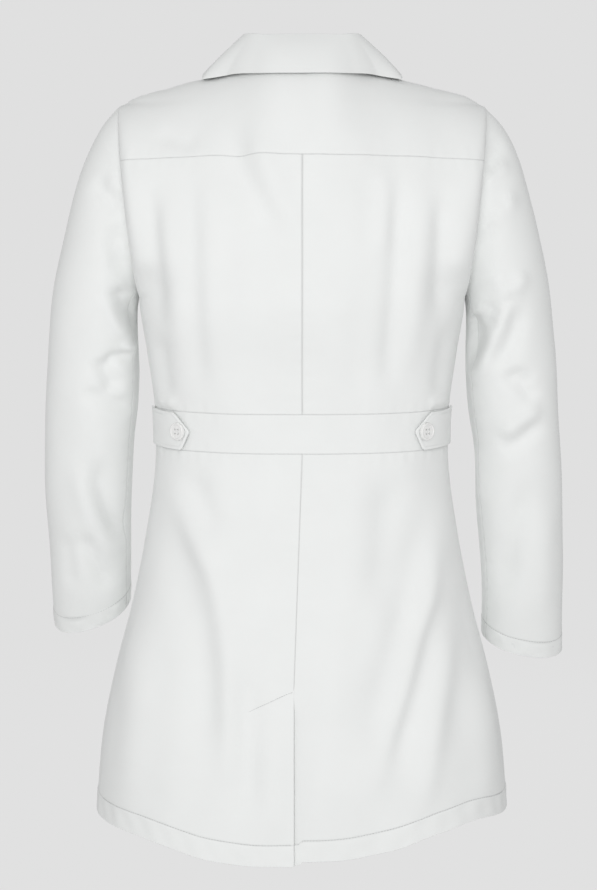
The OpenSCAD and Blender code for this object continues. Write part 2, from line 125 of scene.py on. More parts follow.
# ---- The body's surface ------------------------------------------------------------------------
BODY_W = [(HEM_Z, HEM_HALF), (-749, HEM_HALF - 12), (-680, HEM_HALF - 27), (-606, HEM_HALF - 47),
          (-515, WAIST_HALF + 12), (-440, WAIST_HALF + 1), (-380, WAIST_HALF), (-310, WAIST_HALF + 8),
          (ARM_Z, CHEST_HALF), (ARM_Z + 1, CHEST_HALF)]
BACK_D = [(HEM_Z, 162), (-680, 148), (-550, 128), (-450, 112), (-390, 107), (-330, 112), (ARM_Z, BACK_DEPTH),
          (ARM_Z + 1, BACK_DEPTH)]
FRONT_D = [(HEM_Z, 150), (-550, 134), (-390, FRONT_DEPTH - 8), (ARM_Z, FRONT_DEPTH), (ARM_Z + 1, FRONT_DEPTH)]
SHOULDER = [(0, 0), (NECK_HALF, 2), (114, -8.6), (141, -15), (176, -23.5), (SHOULDER_HALF, -SHOULDER_DROP)]


def half_w(z):
    z = np.asarray(z, float)
    up = np.clip((z - ARM_Z) / (2 * ARM_HALF_H), 0, None) ** 1.15
    return np.where(z >= ARM_Z, mix(CHEST_HALF, SHOULDER_HALF, up), smooth(z, BODY_W))


def depth(side, z):
    return smooth(z, BACK_D if side == BACK else FRONT_D)


def shoulder_z(x):
    return smooth(np.abs(x), SHOULDER)


def neck_y(x):
    return NECK_BACK * np.sqrt(np.clip(1 - (x / NECK_HALF) ** 2, 0, 1))


def nape(x):
    """How far the cloth below the neck seam still follows the neck's curve."""
    return NECK_BACK * np.exp(-(np.abs(x) / 62) ** 3.2)


def arm_y(z):
    round_hole = ARM_HALF_W * np.sqrt(np.clip(1 - ((z - ARM_MID_Z) / ARM_HALF_H) ** 2, 0, 1))
    return np.where(z <= ARM_Z, 0, round_hole)


def across(a):
    return np.sign(a) * np.abs(np.sin(a)) ** (2 / ROUND_N)


def angle_at(x, z):
    s = np.clip(np.abs(x) / half_w(z), 0, 1)
    return np.sign(x) * np.arcsin(s ** (ROUND_N / 2))


def top_z(a):
    return shoulder_z(across(a) * SHOULDER_HALF)


def roll_over(t):
    """How far the surface has come out at t of its way down, as it rounds over the shoulder."""
    return (1 - (1 - t) ** ROLL_P) ** (1 / ROLL_P)


def skin(side, a, z):
    """The cloth's surface before it folds: a is the angle from the centre line to the side."""
    s = across(a)
    c = np.clip(np.cos(a), 0, 1) ** (2 / ROUND_N)
    top = top_z(a)
    z = np.minimum(z, top)
    t = np.clip((top - z) / (top - ARM_Z), 0, 1)
    g = roll_over(t)
    x0 = s * SHOULDER_HALF
    y0 = mix(neck_y(x0), nape(x0), ease(t / 0.04)) if side == BACK else 0
    rim = np.abs(s) ** 14
    arm = arm_y(z) * mix(ease((z - ARM_Z) / 40), 1, rim) * np.abs(s) ** 6
    upper = mix(y0, depth(side, ARM_Z) * c, g) + arm
    y = np.where(z <= ARM_Z, depth(side, z) * c, upper)
    return np.stack([s * half_w(z), side * y, z], -1)


def out(p):
    """Straight out of the body."""
    return unit(np.stack([0.45 * p[..., 0], p[..., 1], np.clip(1.2 * (p[..., 2] + 130), 0, None)], -1))


# ---- Folds --------------------------------------------------------------------------------------
FOLD_GAIN = 1.75             # every height of the tables below is multiplied by this
FOLD_SPREAD = 1.25           # and every width by this
# Each fold is a line down the cloth as x, z points, its half width and its height; a valley's is below 0.
BACK_FOLDS = [
    # left of the back, between yoke and belt
    ([(168, -363), (152, -361), (137, -365)], 3.5, 2.4),
    ([(166, -112), (162, -164), (158, -227), (153, -290)], 11, -3.4),
    ([(140, -108), (137, -205), (130, -357)], 12, 2.4),
    ([(120, -100), (117, -195), (111, -364)], 9, -1.6),
    ([(98, -104), (97, -195), (92, -364)], 10, 1.6),
    ([(158, -280), (152, -330), (150, -366)], 8, -2.0),
    ([(80, -52), (68, -94), (54, -128), (37, -160), (20, -194)], 11, -2.4),
    ([(58, -50), (47, -90), (33, -122), (17, -154), (0, -188)], 11, 2.4),
    ([(160, -70), (136, -77), (106, -86)], 8, -1.6),
    # right of the back
    ([(-168, -363), (-152, -361), (-137, -365)], 3.5, 2.4),
    ([(-68, -105), (-68, -150), (-67, -205)], 10, -1.3),
    ([(-86, -102), (-87, -150), (-85, -205)], 7, 1.3),
    ([(-104, -100), (-102, -195), (-97, -279), (-92, -362)], 10, -4.0),
    ([(-126, -104), (-124, -200), (-116, -300), (-112, -350)], 12, 2.4),
    ([(-152, -118), (-150, -206), (-147, -285)], 10, -3.8),
    ([(-158, -270), (-152, -330), (-150, -366)], 8, -1.8),
    ([(-60, -230), (-58, -300), (-60, -366)], 14, -1.2),
    # left of the skirt
    ([(162, -424), (142, -458), (112, -518), (95, -552), (84, -619), (79, -700), (77, -800)], 13, 4.4),
    ([(166, -462), (158, -490), (136, -545), (116, -605), (107, -680), (104, -770)], 22, -4.4),
    ([(126, -432), (110, -468), (94, -512)], 12, -2.4),
    ([(64, -630), (61, -700), (59, -770), (58, -820)], 13, -3.4),
    ([(36, -700), (34, -780), (34, -850)], 14, 2.0),
    ([(186, -560), (186, -640), (190, -740), (196, -840)], 18, 3.0),
    # right of the skirt
    ([(-104, -425), (-99, -470), (-92, -530), (-84, -600)], 18, -4.6),
    ([(-139, -440), (-128, -510), (-114, -575), (-92, -655), (-64, -745)], 16, -4.0),
    ([(-150, -480), (-142, -560), (-122, -640), (-90, -745), (-78, -800)], 10, 4.0),
    ([(-152, -570), (-143, -610), (-122, -690), (-97, -770)], 16, -4.2),
    ([(-166, -580), (-160, -660), (-140, -750), (-130, -840)], 13, 3.6),
    ([(-182, -560), (-181, -640), (-178, -770)], 22, -3.4),
    ([(-206, -640), (-208, -740), (-206, -840)], 16, 3.0),
    ([(-30, -600), (-28, -700), (-30, -850)], 24, 2.4),
]
FRONT_FOLDS = [
    ([(150, -110), (140, -190), (128, -250), (112, -330), (106, -368)], 10, -3.2),
    ([(128, -230), (112, -290), (98, -350)], 10, 2.2),
    ([(165, -290), (150, -340), (140, -380)], 8, -2.6),
    ([(100, -395), (112, -470), (128, -560)], 12, -3.0),
    ([(205, -650), (206, -740), (205, -850)], 16, 3.6),
    ([(180, -600), (176, -720), (172, -850)], 15, -4.2),
    ([(120, -690), (122, -760), (126, -850)], 16, 3.4),
    ([(98, -680), (100, -760), (104, -850)], 13, -3.4),
    ([(-152, -110), (-141, -190), (-126, -250), (-113, -330), (-108, -368)], 10, -3.4),
    ([(-124, -230), (-110, -290), (-97, -350)], 10, 2.4),
    ([(-163, -290), (-152, -340), (-141, -380)], 8, -2.4),
    ([(-104, -395), (-116, -470), (-130, -560)], 12, -2.8),
    ([(-203, -650), (-208, -740), (-207, -850)], 16, 3.4),
    ([(-178, -600), (-177, -720), (-175, -850)], 15, -4.0),
    ([(-118, -690), (-121, -760), (-124, -850)], 16, 3.2),
    ([(-96, -680), (-99, -760), (-103, -850)], 13, -3.2),
]


def along(points, n=14):
    """A smooth line through the points."""
    p = np.array(points, float)
    t = np.linspace(0, len(p) - 1, n)
    knots = np.arange(len(p))
    return np.stack([smooth(t, list(zip(knots, p[:, k]))) for k in range(p.shape[1])], -1)


def fold(x, z, points, width, height):
    """Height of one fold at each x, z. It fades towards both ends of its line."""
    p = along(points)
    length = np.concatenate([[0], np.cumsum(np.linalg.norm(np.diff(p, axis=0), axis=1))])
    best = np.full(x.shape, 1e9)
    where = np.zeros(x.shape)
    for k in range(len(p) - 1):
        e = p[k + 1] - p[k]
        t = np.clip(((x - p[k, 0]) * e[0] + (z - p[k, 1]) * e[1]) / (e @ e), 0, 1)
        d = np.hypot(x - p[k, 0] - t * e[0], z - p[k, 1] - t * e[1])
        near = d < best
        best = np.where(near, d, best)
        where = np.where(near, length[k] + t * (length[k + 1] - length[k]), where)
    u = where / length[-1]
    return height * ease(u / 0.3) * ease((1 - u) / 0.3) * bell(best, width)


DRAPE_WAVES = [(0.061, 0.013), (0.037, -0.022), (-0.083, 0.031), (0.024, 0.052), (0.12, 0.019)]


def drape(x, z, size=0.32):
    """Slow, shallow unevenness of hanging cloth."""
    total = 0
    for k, (fx, fz) in enumerate(DRAPE_WAVES):
        total = total + np.sin(fx * x + fz * z + 1.7 * k)
    return size * total


def body_height(side, x, z):
    """Height of the folded cloth over the smooth body."""
    h = drape(x + 40 * side, z)
    for points, width, height in BACK_FOLDS if side == BACK else FRONT_FOLDS:
        h = h + FOLD_GAIN * fold(x, z, points, FOLD_SPREAD * width, height)
    return h * ease((half_w(z) - np.abs(x)) / 16)


def cloth_at(side, x, z, d=0.0):
    """Points of the folded cloth at x, z, and d over it."""
    x, z = np.broadcast_arrays(np.asarray(x, float), np.asarray(z, float))
    base = skin(side, angle_at(x, z), z)
    return base + (body_height(side, x, z) + d)[..., None] * out(base)


def cloth_normal(side, x, z):
    e = 1.5
    n = np.cross(cloth_at(side, x + e, z) - cloth_at(side, x - e, z),
                 cloth_at(side, x, z + e) - cloth_at(side, x, z - e))
    n = unit(n)
    return n * np.sign(np.sum(n * out(cloth_at(side, x, z)), -1, keepdims=True))


# ---- Meshes ---------------------------------------------------------------------------------------
EDGE_LINES = (0.0, 0.5, 1.1, 1.9, 3.2)


def marks(length, step=STEP, edges=EDGE_LINES, stitched=()):
    """Where the grid lines of a strip lie, from 0 to 1, closer together along its two edges and at
    the rows of stitches, which are given as distances from the start, or below 0 from the end."""
    edges = [e for e in edges if e < length * 0.4]
    n = max(1, int(round((length - 2 * edges[-1]) / step)))
    inner = np.linspace(edges[-1], length - edges[-1], n + 1)
    line = np.concatenate([edges[:-1], inner, [length - e for e in edges[-2::-1]]])
    for row in stitched:
        row = row + length if row < 0 else row
        near = row + np.arange(-1.8, 2.0, 0.6)
        line = np.sort(np.concatenate([line[(line < near[0] - 0.4) | (line > near[-1] + 0.4)], near]))
    return line / length


def new_object(name, verts, faces, material, uv=None, seam=None):
    mesh = bpy.data.meshes.new(name)
    mesh.from_pydata((np.asarray(verts) * MM).tolist(), [], [list(f) for f in faces])
    mesh.update()
    mesh.polygons.foreach_set("use_smooth", [True] * len(mesh.polygons))
    if uv is not None:
        loops = np.zeros(len(mesh.loops), np.int32)
        mesh.loops.foreach_get("vertex_index", loops)
        layer = mesh.uv_layers.new(name="cloth")
        layer.data.foreach_set("uv", (np.asarray(uv, float) * MM)[loops].ravel().astype(np.float32))
    # seam: painted shade along seams and stitch grooves, kept as a point attribute for the material
    if seam is not None:
        mesh.attributes.new("seam", "FLOAT", "POINT").data.foreach_set("value", np.asarray(seam, np.float32))
    mesh.materials.append(material)
    obj = bpy.data.objects.new(name + "_cloth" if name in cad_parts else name, mesh)
    bpy.context.scene.collection.objects.link(obj)
    return obj


def normals(p):
    return unit(np.cross(np.gradient(p, axis=1), np.gradient(p, axis=0)))


def shell(name, outer, material, thick=CLOTH, seam=None, bulge=0.35):
    """A closed sheet of cloth under a grid of points whose normals face out, with round edges."""
    r, c = outer.shape[:2]
    n = normals(outer)
    inner = outer - thick * n
    ids = np.arange(r * c).reshape(r, c)
    border = [(0, j) for j in range(c)] + [(i, c - 1) for i in range(1, r)]
    border += [(r - 1, j) for j in range(c - 2, -1, -1)] + [(i, 0) for i in range(r - 2, 0, -1)]
    bi, bj = np.array(border).T
    ii = np.clip(bi, 1, r - 2)
    jj = np.clip(bj, 1, c - 2)
    away = outer[bi, bj] - outer[ii, jj]
    away = unit(away - np.sum(away * n[bi, bj], -1, keepdims=True) * n[bi, bj])
    rim = (outer[bi, bj] + inner[bi, bj]) / 2 + bulge * thick * away
    a, b = ids[:-1, :-1].ravel(), ids[:-1, 1:].ravel()
    d, e = ids[1:, 1:].ravel(), ids[1:, :-1].ravel()
    size = r * c
    faces = [np.stack([a, b, d, e], 1), np.stack([a, e, d, b], 1) + size]
    k = np.arange(len(border))
    k1 = np.roll(k, -1)
    o, o1 = ids[bi, bj], ids[bi[k1], bj[k1]]
    m, m1 = 2 * size + k, 2 * size + k1
    faces += [np.stack([o1, o, m, m1], 1), np.stack([m1, m, size + o, size + o1], 1)]
    du = np.linalg.norm(np.diff(outer, axis=1), axis=2)
    dv = np.linalg.norm(np.diff(outer, axis=0), axis=2)
    u = np.concatenate([[0], np.cumsum(du.mean(0))])
    v = np.concatenate([[0], np.cumsum(dv.mean(1))])
    uv = np.stack(np.meshgrid(u, v), -1).reshape(-1, 2)
    uv = np.concatenate([uv, uv, uv[ids[bi, bj]]])
    # seam is the mask of painted shade; the inside face takes 0.6 of it and the round edge all of it
    s = np.zeros((r, c)) if seam is None else seam
    s = np.concatenate([s.ravel(), 0.6 * s.ravel(), s[bi, bj]])
    verts = np.concatenate([outer.reshape(-1, 3), inner.reshape(-1, 3), rim])
    return new_object(name, verts, np.concatenate(faces), material, uv, s)


def facing(p, toward):
    """The same grid, with its columns turned round if its normals point away from toward."""
    return p if np.sum(normals(p) * toward) > 0 else p[:, ::-1]


def edge_distances(p):
    """Each grid point's distance from the left, right, lower and upper edges of the grid."""
    du = np.linalg.norm(np.diff(p, axis=1), axis=2)
    dv = np.linalg.norm(np.diff(p, axis=0), axis=2)
    zero_u, zero_v = np.zeros((p.shape[0], 1)), np.zeros((1, p.shape[1]))
    left = np.concatenate([zero_u, np.cumsum(du, axis=1)], 1)
    lower = np.concatenate([zero_v, np.cumsum(dv, axis=0)], 0)
    return {"l": left, "r": left[:, -1:] - left, "b": lower, "t": lower[-1:] - lower}


SEAM_DEPTH = 0.28
PUCKER = 0.28


def seam_height(dist, seams, phase=0.0):
    """The valley and the slight puckers along a panel's sewn edges, and painted shade: a mask that darkens
    the colour along them.
    """
    h = 0
    painted_shade = np.zeros(dist["l"].shape)
    for k, edge in enumerate(seams):
        run = dist["b"] if edge in "lr" else dist["l"]
        d = dist[edge]
        wave = np.sin(run / 2.1 + phase + k) + 0.7 * np.sin(run / 3.7 + 2.0 * phase + 3 * k)
        h = h - SEAM_DEPTH * bell(d, 0.7) + PUCKER * wave * bell(d - 5, 6.5)
        # painted shade along each sewn edge, where the seam's valley is
        painted_shade = np.maximum(painted_shade, bell(d, 0.5))
    return h, painted_shade


def even_rows(curve, n_marks):
    """Row parameters, so that the marks fall evenly along the curve."""
    t = 1 - (1 - np.linspace(0, 1, 500)) ** ROLL_P
    p = curve(t)
    arc = np.concatenate([[0], np.cumsum(np.linalg.norm(np.diff(p, axis=0), axis=1))])
    return np.interp(n_marks(arc[-1]) * arc[-1], arc, t)


def panel_grid(side, x0, x1, z0, z1, step=STEP, rows=(), columns=()):
    """The smooth surface between the lines x0(z), x1(z), z0(a) and z1(a)."""
    def place(u, v):
        z = mix(z0(0 * u), np.minimum(z1(0 * u), top_z(0 * u)), v)
        for _ in range(6):
            a = mix(angle_at(x0(z), z), angle_at(x1(z), z), u)
            z = mix(z0(a), np.minimum(z1(a), top_z(a)), v)
        return skin(side, a, z)
    mid = lambda t: place(np.full(t.shape, 0.5), t)
    v = even_rows(mid, lambda length: marks(length, step, stitched=rows))
    row = place(np.linspace(0, 1, 60), np.full(60, 0.35))
    width = np.linalg.norm(np.diff(row, axis=0), axis=1).sum()
    u = marks(width, step, stitched=columns)
    uu, vv = np.meshgrid(u, v)
    return facing(place(uu, vv), out(place(uu, vv)))


PIECES = {}


def declare(obj, nodes):
    """Hides the CAD nodes that a piece stands for, and keeps the piece by its name."""
    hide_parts(*nodes)
    PIECES[obj.name.removesuffix("_cloth")] = obj
    return obj


def body_panel(name, side, x0, x1, z0, z1, seams, nodes, extra=None, hangs_from=None, material=None,
               slot="cloth", thick=CLOTH, step=STEP, rows=(), columns=()):
    """One panel of the coat's body, folded as the body is and sewn along the edges named in seams."""
    base = panel_grid(side, x0, x1, z0, z1, step, rows, columns)
    x, z = base[..., 0], base[..., 2]
    dist = edge_distances(base)
    h, painted_shade = seam_height(dist, seams, phase=len(name))
    h = h + body_height(side, x, z)
    if extra is not None:
        more, more_painted_shade = extra(x, z, dist)
        h = h + more
        painted_shade = np.maximum(painted_shade, more_painted_shade)
    p = base + h[..., None] * out(base)
    obj = shell(name, p, material or WHITE, thick, painted_shade)
    return declare(obj, nodes)


# ---- Materials --------------------------------------------------------------------------------------
def material(name, colour, roughness, build=None, sheen=0.0, coat=0.0):
    m = bpy.data.materials.new(name)
    m.use_nodes = True
    t = m.node_tree
    shader = t.nodes["Principled BSDF"]
    shader.inputs["Base Color"].default_value = (*colour, 1)
    shader.inputs["Roughness"].default_value = roughness
    shader.inputs["Sheen Weight"].default_value = sheen
    shader.inputs["Sheen Roughness"].default_value = 0.6
    shader.inputs["Coat Weight"].default_value = coat
    shader.inputs["Coat Roughness"].default_value = 0.08
    if build:
        build(t, shader, colour)
    return m


def node(t, kind, **inputs):
    n = t.nodes.new(kind)
    for key, value in inputs.items():
        n.inputs[key.replace("_", " ")].default_value = value
    return n


def tinted(t, colour, factor, darker):
    """Base colour, and a darker one where factor is 1."""
    blend = t.nodes.new("ShaderNodeMix")
    blend.data_type = "RGBA"
    blend.inputs["A"].default_value = (*colour, 1)
    blend.inputs["B"].default_value = (*[c * darker for c in colour], 1)
    t.links.new(factor, blend.inputs["Factor"])
    return blend.outputs["Result"]


WEAVE_PITCH = 0.0006         # metres between two twill lines


def weave(t, shader, colour):
    """Fine twill lines, thread noise, soft mottling, and painted shade along seams and stitch grooves, taken
    from the seam attribute.
    """
    coord = t.nodes.new("ShaderNodeTexCoord")
    twill = node(t, "ShaderNodeTexWave", Scale=2 * math.pi / (10 * WEAVE_PITCH), Distortion=0.6)
    twill.bands_direction = "DIAGONAL"
    cross = node(t, "ShaderNodeTexWave", Scale=2 * math.pi / (20 * WEAVE_PITCH * 0.7), Distortion=0.4)
    cross.bands_direction = "Y"
    yarn = node(t, "ShaderNodeTexNoise", Scale=900.0, Detail=3.0)
    mottle = node(t, "ShaderNodeTexNoise", Scale=22.0, Detail=4.0)
    for texture in (twill, cross, yarn):
        t.links.new(coord.outputs["UV"], texture.inputs["Vector"])
    t.links.new(coord.outputs["Object"], mottle.inputs["Vector"])
    lines = node(t, "ShaderNodeMath")
    lines.operation = "MULTIPLY"
    t.links.new(twill.outputs["Fac"], lines.inputs[0])
    t.links.new(cross.outputs["Fac"], lines.inputs[1])
    rough = node(t, "ShaderNodeMath")
    rough.operation = "ADD"
    t.links.new(lines.outputs[0], rough.inputs[0])
    t.links.new(yarn.outputs["Fac"], rough.inputs[1])
    bump = node(t, "ShaderNodeBump", Strength=0.22, Distance=0.00012)
    t.links.new(rough.outputs[0], bump.inputs["Height"])
    t.links.new(bump.outputs["Normal"], shader.inputs["Normal"])
    spread = node(t, "ShaderNodeMapRange", From_Min=0.35, From_Max=0.65, To_Min=0.0, To_Max=0.6)
    t.links.new(mottle.outputs["Fac"], spread.inputs["Value"])
    ground = tinted(t, colour, spread.outputs["Result"], 0.975)
    # painted shade: the seam attribute darkens the colour along seams and stitch grooves
    seam = t.nodes.new("ShaderNodeAttribute")
    seam.attribute_name = "seam"
    painted_seam_shade = t.nodes.new("ShaderNodeMix")
    painted_seam_shade.data_type = "RGBA"
    painted_seam_shade.inputs["B"].default_value = (*[c * SEAM_SHADE_TONE for c in colour], 1)
    t.links.new(ground, painted_seam_shade.inputs["A"])
    t.links.new(seam.outputs["Fac"], painted_seam_shade.inputs["Factor"])
    t.links.new(painted_seam_shade.outputs["Result"], shader.inputs["Base Color"])


def polished(t, shader, colour):
    """Faint cloudy swirls, as in cast polyester buttons."""
    coord = t.nodes.new("ShaderNodeTexCoord")
    cloud = node(t, "ShaderNodeTexNoise", Scale=160.0, Detail=3.0, Distortion=1.2)
    t.links.new(coord.outputs["Object"], cloud.inputs["Vector"])
    spread = node(t, "ShaderNodeMapRange", From_Min=0.4, From_Max=0.7, To_Min=0.0, To_Max=1.0)
    t.links.new(cloud.outputs["Fac"], spread.inputs["Value"])
    t.links.new(tinted(t, colour, spread.outputs["Result"], 0.93), shader.inputs["Base Color"])


def twisted(t, shader, colour):
    """Thread, with its twist as fine ridges."""
    coord = t.nodes.new("ShaderNodeTexCoord")
    ply = node(t, "ShaderNodeTexWave", Scale=420.0, Distortion=0.5)
    ply.bands_direction = "DIAGONAL"
    t.links.new(coord.outputs["Object"], ply.inputs["Vector"])
    bump = node(t, "ShaderNodeBump", Strength=0.5, Distance=0.0001)
    t.links.new(ply.outputs["Fac"], bump.inputs["Height"])
    t.links.new(bump.outputs["Normal"], shader.inputs["Normal"])
    t.links.new(tinted(t, colour, ply.outputs["Fac"], 0.9), shader.inputs["Base Color"])


# how far the painted shade along seams and stitch grooves darkens the cloth's colour
SEAM_SHADE_TONE = 0.84
CLOTH_WHITE = (0.872, 0.884, 0.876)
WHITE = material("white_twill", CLOTH_WHITE, 0.86, weave, sheen=0.12)
INNER = material("white_twill_inside", (0.83, 0.842, 0.836), 0.9, weave, sheen=0.08)
BUTTON = material("polished_button", (0.9, 0.9, 0.89), 0.22, polished, coat=0.6)
THREAD = material("sewing_thread", (0.86, 0.868, 0.86), 0.7, twisted, sheen=0.2)
# grey thread for the rows of stitches: painted shade, standing for the shadow of stitches sunk into the white
# cloth
PAINTED_SHADE_THREAD = material("sunk_stitches", (0.6, 0.61, 0.605), 0.8, twisted, sheen=0.1)


# ---- Stitches ----------------------------------------------------------------------------------------
STITCH, STITCH_GAP, STITCH_R = 2.6, 0.7, 0.27


def stitch_row(path, out_dir, phase=0.0, gap=STITCH_GAP):
    """Vertices and faces of one row of stitches along a path, each a slim spindle lying on the cloth."""
    path, out_dir = np.asarray(path, float), np.asarray(out_dir, float)
    arc = np.concatenate([[0], np.cumsum(np.linalg.norm(np.diff(path, axis=0), axis=1))])
    starts = np.arange(phase + 0.5, arc[-1] - STITCH, STITCH + gap)
    at = lambda s: np.stack([np.interp(s, arc, path[:, k]) for k in range(3)], -1)
    dirs = lambda s: unit(np.stack([np.interp(s, arc, out_dir[:, k]) for k in range(3)], -1))
    a, b = at(starts), at(starts + STITCH)
    n = dirs(starts + STITCH / 2)
    t = unit(b - a)
    w = np.cross(t, n)
    sides = 5
    rings = [(0.0, 0.25, -0.35), (0.22, 1.0, 0.25), (0.78, 1.0, 0.25), (1.0, 0.25, -0.35)]
    verts = []
    for along_t, size, rise in rings:
        centre = mix(a, b, along_t) + rise * STITCH_R * n
        for k in range(sides):
            q = 2 * math.pi * k / sides
            verts.append(centre + STITCH_R * size * (math.cos(q) * w + math.sin(q) * n))
    verts = np.stack(verts, 1)
    faces = []
    for ring in range(len(rings) - 1):
        for k in range(sides):
            a0, a1 = ring * sides + k, ring * sides + (k + 1) % sides
            faces.append([a0, a1, a1 + sides, a0 + sides])
    caps = [list(range(sides))[::-1], [len(rings[1:]) * sides + k for k in range(sides)]]
    per = verts.shape[1]
    all_faces = [[i + m * per for i in f] for m in range(len(starts)) for f in faces + caps]
    return verts.reshape(-1, 3), all_faces


def joined(name, parts, material=THREAD):
    """One object of thread from several parts; each part is (vertices, faces)."""
    verts, faces, base = [], [], 0
    for v, f in parts:
        verts.append(v)
        faces += [[i + base for i in face] for face in f]
        base += len(v)
    obj = new_object(name, np.concatenate(verts), faces, material)
    PIECES[name] = obj
    return obj


def stitching(name, rows, gap=STITCH_GAP):
    """One object with several rows of stitches in grey thread that is painted shade; each row is (path,
    directions out of the cloth).
    """
    return joined(name, [stitch_row(path, n, 0.4 * k, gap) for k, (path, n) in enumerate(rows)], PAINTED_SHADE_THREAD)


# ---- Edges of the panels -------------------------------------------------------------------------
def side_names(name, s):
    return name + ("_left" if s == LEFT else "_right")


def mirrored(s, f):
    """The same line on the other side when s is RIGHT."""
    return lambda z: s * f(z)


def level(z):
    return lambda a: z + 0 * a


def top_edge(a):
    return top_z(a)


def yoke_seam(a):
    return mix(YOKE_Z, YOKE_END_Z, np.abs(across(a)) ** 3)


# The hem isn't quite level: it rises a little towards the side seams, more on the right.
# Each point is a share of the way out to the side and a height.
HEM_LEFT = [(0, HEM_Z), (0.28, HEM_Z), (0.46, HEM_Z + 5), (0.64, HEM_Z + 14), (0.82, HEM_Z + 18),
            (1, HEM_Z + 12)]
HEM_RIGHT = [(0, HEM_Z + 4), (0.2, HEM_Z + 7), (0.42, HEM_Z + 15), (0.64, HEM_Z + 28), (0.84, HEM_Z + 31),
             (1, HEM_Z + 16)]


def back_hem(a):
    s = across(a)
    return np.where(s > 0, smooth(np.abs(s), HEM_LEFT), smooth(np.abs(s), HEM_RIGHT))


def front_hem(a):
    s = across(a)
    end = np.where(s > 0, HEM_LEFT[-1][1], HEM_RIGHT[-1][1])
    return mix(HEM_Z, end, ease(np.abs(s)))


SIDE_CLEAR = 0.00002         # keeps the panels' sides off the exact edge of the surface


def side_line(z):
    return half_w(z) - SIDE_CLEAR


def centre_seam(z):
    return VENT_EDGE * np.clip((BELT_LOW_Z - z) / (BELT_LOW_Z - VENT_Z), 0, 1)


PRINCESS = [(HEM_Z, 150), (-390, 96), (ARM_Z, 108), (0, 128)]


def princess_x(z):
    return smooth(z, PRINCESS)


def roll_x(z):
    """The line that each lapel rolls over, from the lapped edge at the break up to the neck."""
    return mix(-10, NECK_HALF + 2, np.clip((z - BREAK_Z) / (2 - BREAK_Z), 0, 1) ** 0.72)


def front_edge_x(z):
    return np.where(z < BREAK_Z, mix(-LAP, -10, ease((z - BREAK_Z + 14) / 14)), roll_x(z))


def hem_groove(line, turn=HEM_TURN, depth_mm=0.5, ripple=0.5):
    """A stitched hem: a groove at the stitches with painted shade along it, and slight ripples below it. line
    is 'b' or 't'.
    """
    def height(x, z, dist):
        d = dist[line]
        run = dist["l"]
        groove = -depth_mm * bell(d - turn, 1.0)
        wave = np.sin(run / 4.3 + 0.12 * d) + 0.6 * np.sin(run / 7.9 - 0.1 * d + 1.3)
        band = ripple * wave * ease(d / 6) * ease((turn + 8 - d) / 10) * (1 - bell(d - turn, 2.5))
        return groove + band + 0.45 * ease((turn + 1 - d) / 2), bell(d - turn, 0.6)
    return height


def together(*parts):
    def height(x, z, dist):
        h, painted_shade = 0, 0
        for part in parts:
            more, more_painted_shade = part(x, z, dist)
            h, painted_shade = h + more, np.maximum(painted_shade, more_painted_shade)
        return h, painted_shade
    return height


# ---- Back ------------------------------------------------------------------------------------------
body_panel("back_yoke", BACK, lambda z: -side_line(z), side_line, lambda a: yoke_seam(a) + GAP, top_edge,
           "lrbt", ["back_yoke"], hangs_from=["collar_stand"])
for s in (LEFT, RIGHT):
    seam_x = lambda z, s=s: s * GAP + 0 * z
    body_panel(side_names("back_upper", s), BACK, seam_x, mirrored(s, side_line), level(BELT_TOP_Z + GAP),
               lambda a: yoke_seam(a) - GAP, "lrbt", [side_names("back_upper", s)], hangs_from=["back_yoke"])
body_panel("back_belt", BACK, lambda z: -side_line(z), side_line, level(BELT_LOW_Z + GAP),
           level(BELT_TOP_Z - GAP), "lrbt", ["back_belt"], hangs_from=["back_upper_left"])


VENT_STITCH_END = 61         # how far out the slanting row goes


def vent_slant(x):
    """The slanting row of stitches that holds the top of the vent."""
    return VENT_Z - 1 - 23 * np.clip((x - VENT_EDGE - 2) / 52, 0, 1) ** 1.15 - 0.06 * (x - VENT_EDGE)


def vent_lap(x, z, dist):
    """The left half stands a little proud along its free edge, below the top of the vent."""
    below = ease((VENT_Z - z) / 40)
    h = below * 1.7 * bell(x - VENT_EDGE, 26)
    d = (z - vent_slant(x)) * 0.9
    on = ease((x - VENT_EDGE) / 3) * ease((VENT_STITCH_END - x) / 3)
    return h - 0.5 * bell(d, 1.6) * on, 0 * x


def vent_under(x, z, dist):
    below = ease((VENT_Z - z) / 30)
    return -1.9 * below * bell(x - VENT_EDGE, 20), 0 * x


VENT_BEND_W, FRONT_BEND_W = 24.0, 20.0


def across_line(p, q, inward, width):
    """Where a bend at the line p-q starts, and where it ends, width millimetres towards inward."""
    along_line = unit(q - p)
    way = unit(inward - np.sum(inward * along_line) * along_line)
    return tuple(p * MM), tuple((p + width * way) * MM)


VENT_BEND = across_line(cloth_at(BACK, VENT_EDGE, VENT_Z), cloth_at(BACK, VENT_EDGE + VENT_W, HEM_Z),
                        np.array([-1.0, 0, 0]), VENT_BEND_W)


def centre_join(x, z, dist):
    """The centre seam's valley and the painted shade along it, above the vent only."""
    on = ease((z - VENT_Z) / 4)
    d = np.abs(x - centre_seam(z))
    wave = np.sin(z / 2.1) + 0.7 * np.sin(z / 3.7 + 2)
    return on * (-SEAM_DEPTH * bell(d, 0.7) + PUCKER * wave * bell(d - 5, 6.5)), on * bell(d, 0.5)


body_panel("back_lower_left", BACK, lambda z: centre_seam(z) + GAP, side_line, back_hem,
           level(BELT_LOW_Z - GAP), "lt", ["back_lower_left", "vent_flap"],
           together(vent_lap, hem_groove("b"), centre_join), ["back_belt"], rows=[HEM_TURN])
body_panel("back_lower_right", BACK, lambda z: -side_line(z), lambda z: centre_seam(z) - GAP, back_hem,
           level(BELT_LOW_Z - GAP), "rt", ["back_lower_right"],
           together(vent_under, hem_groove("b"), centre_join), ["back_belt"], rows=[HEM_TURN])


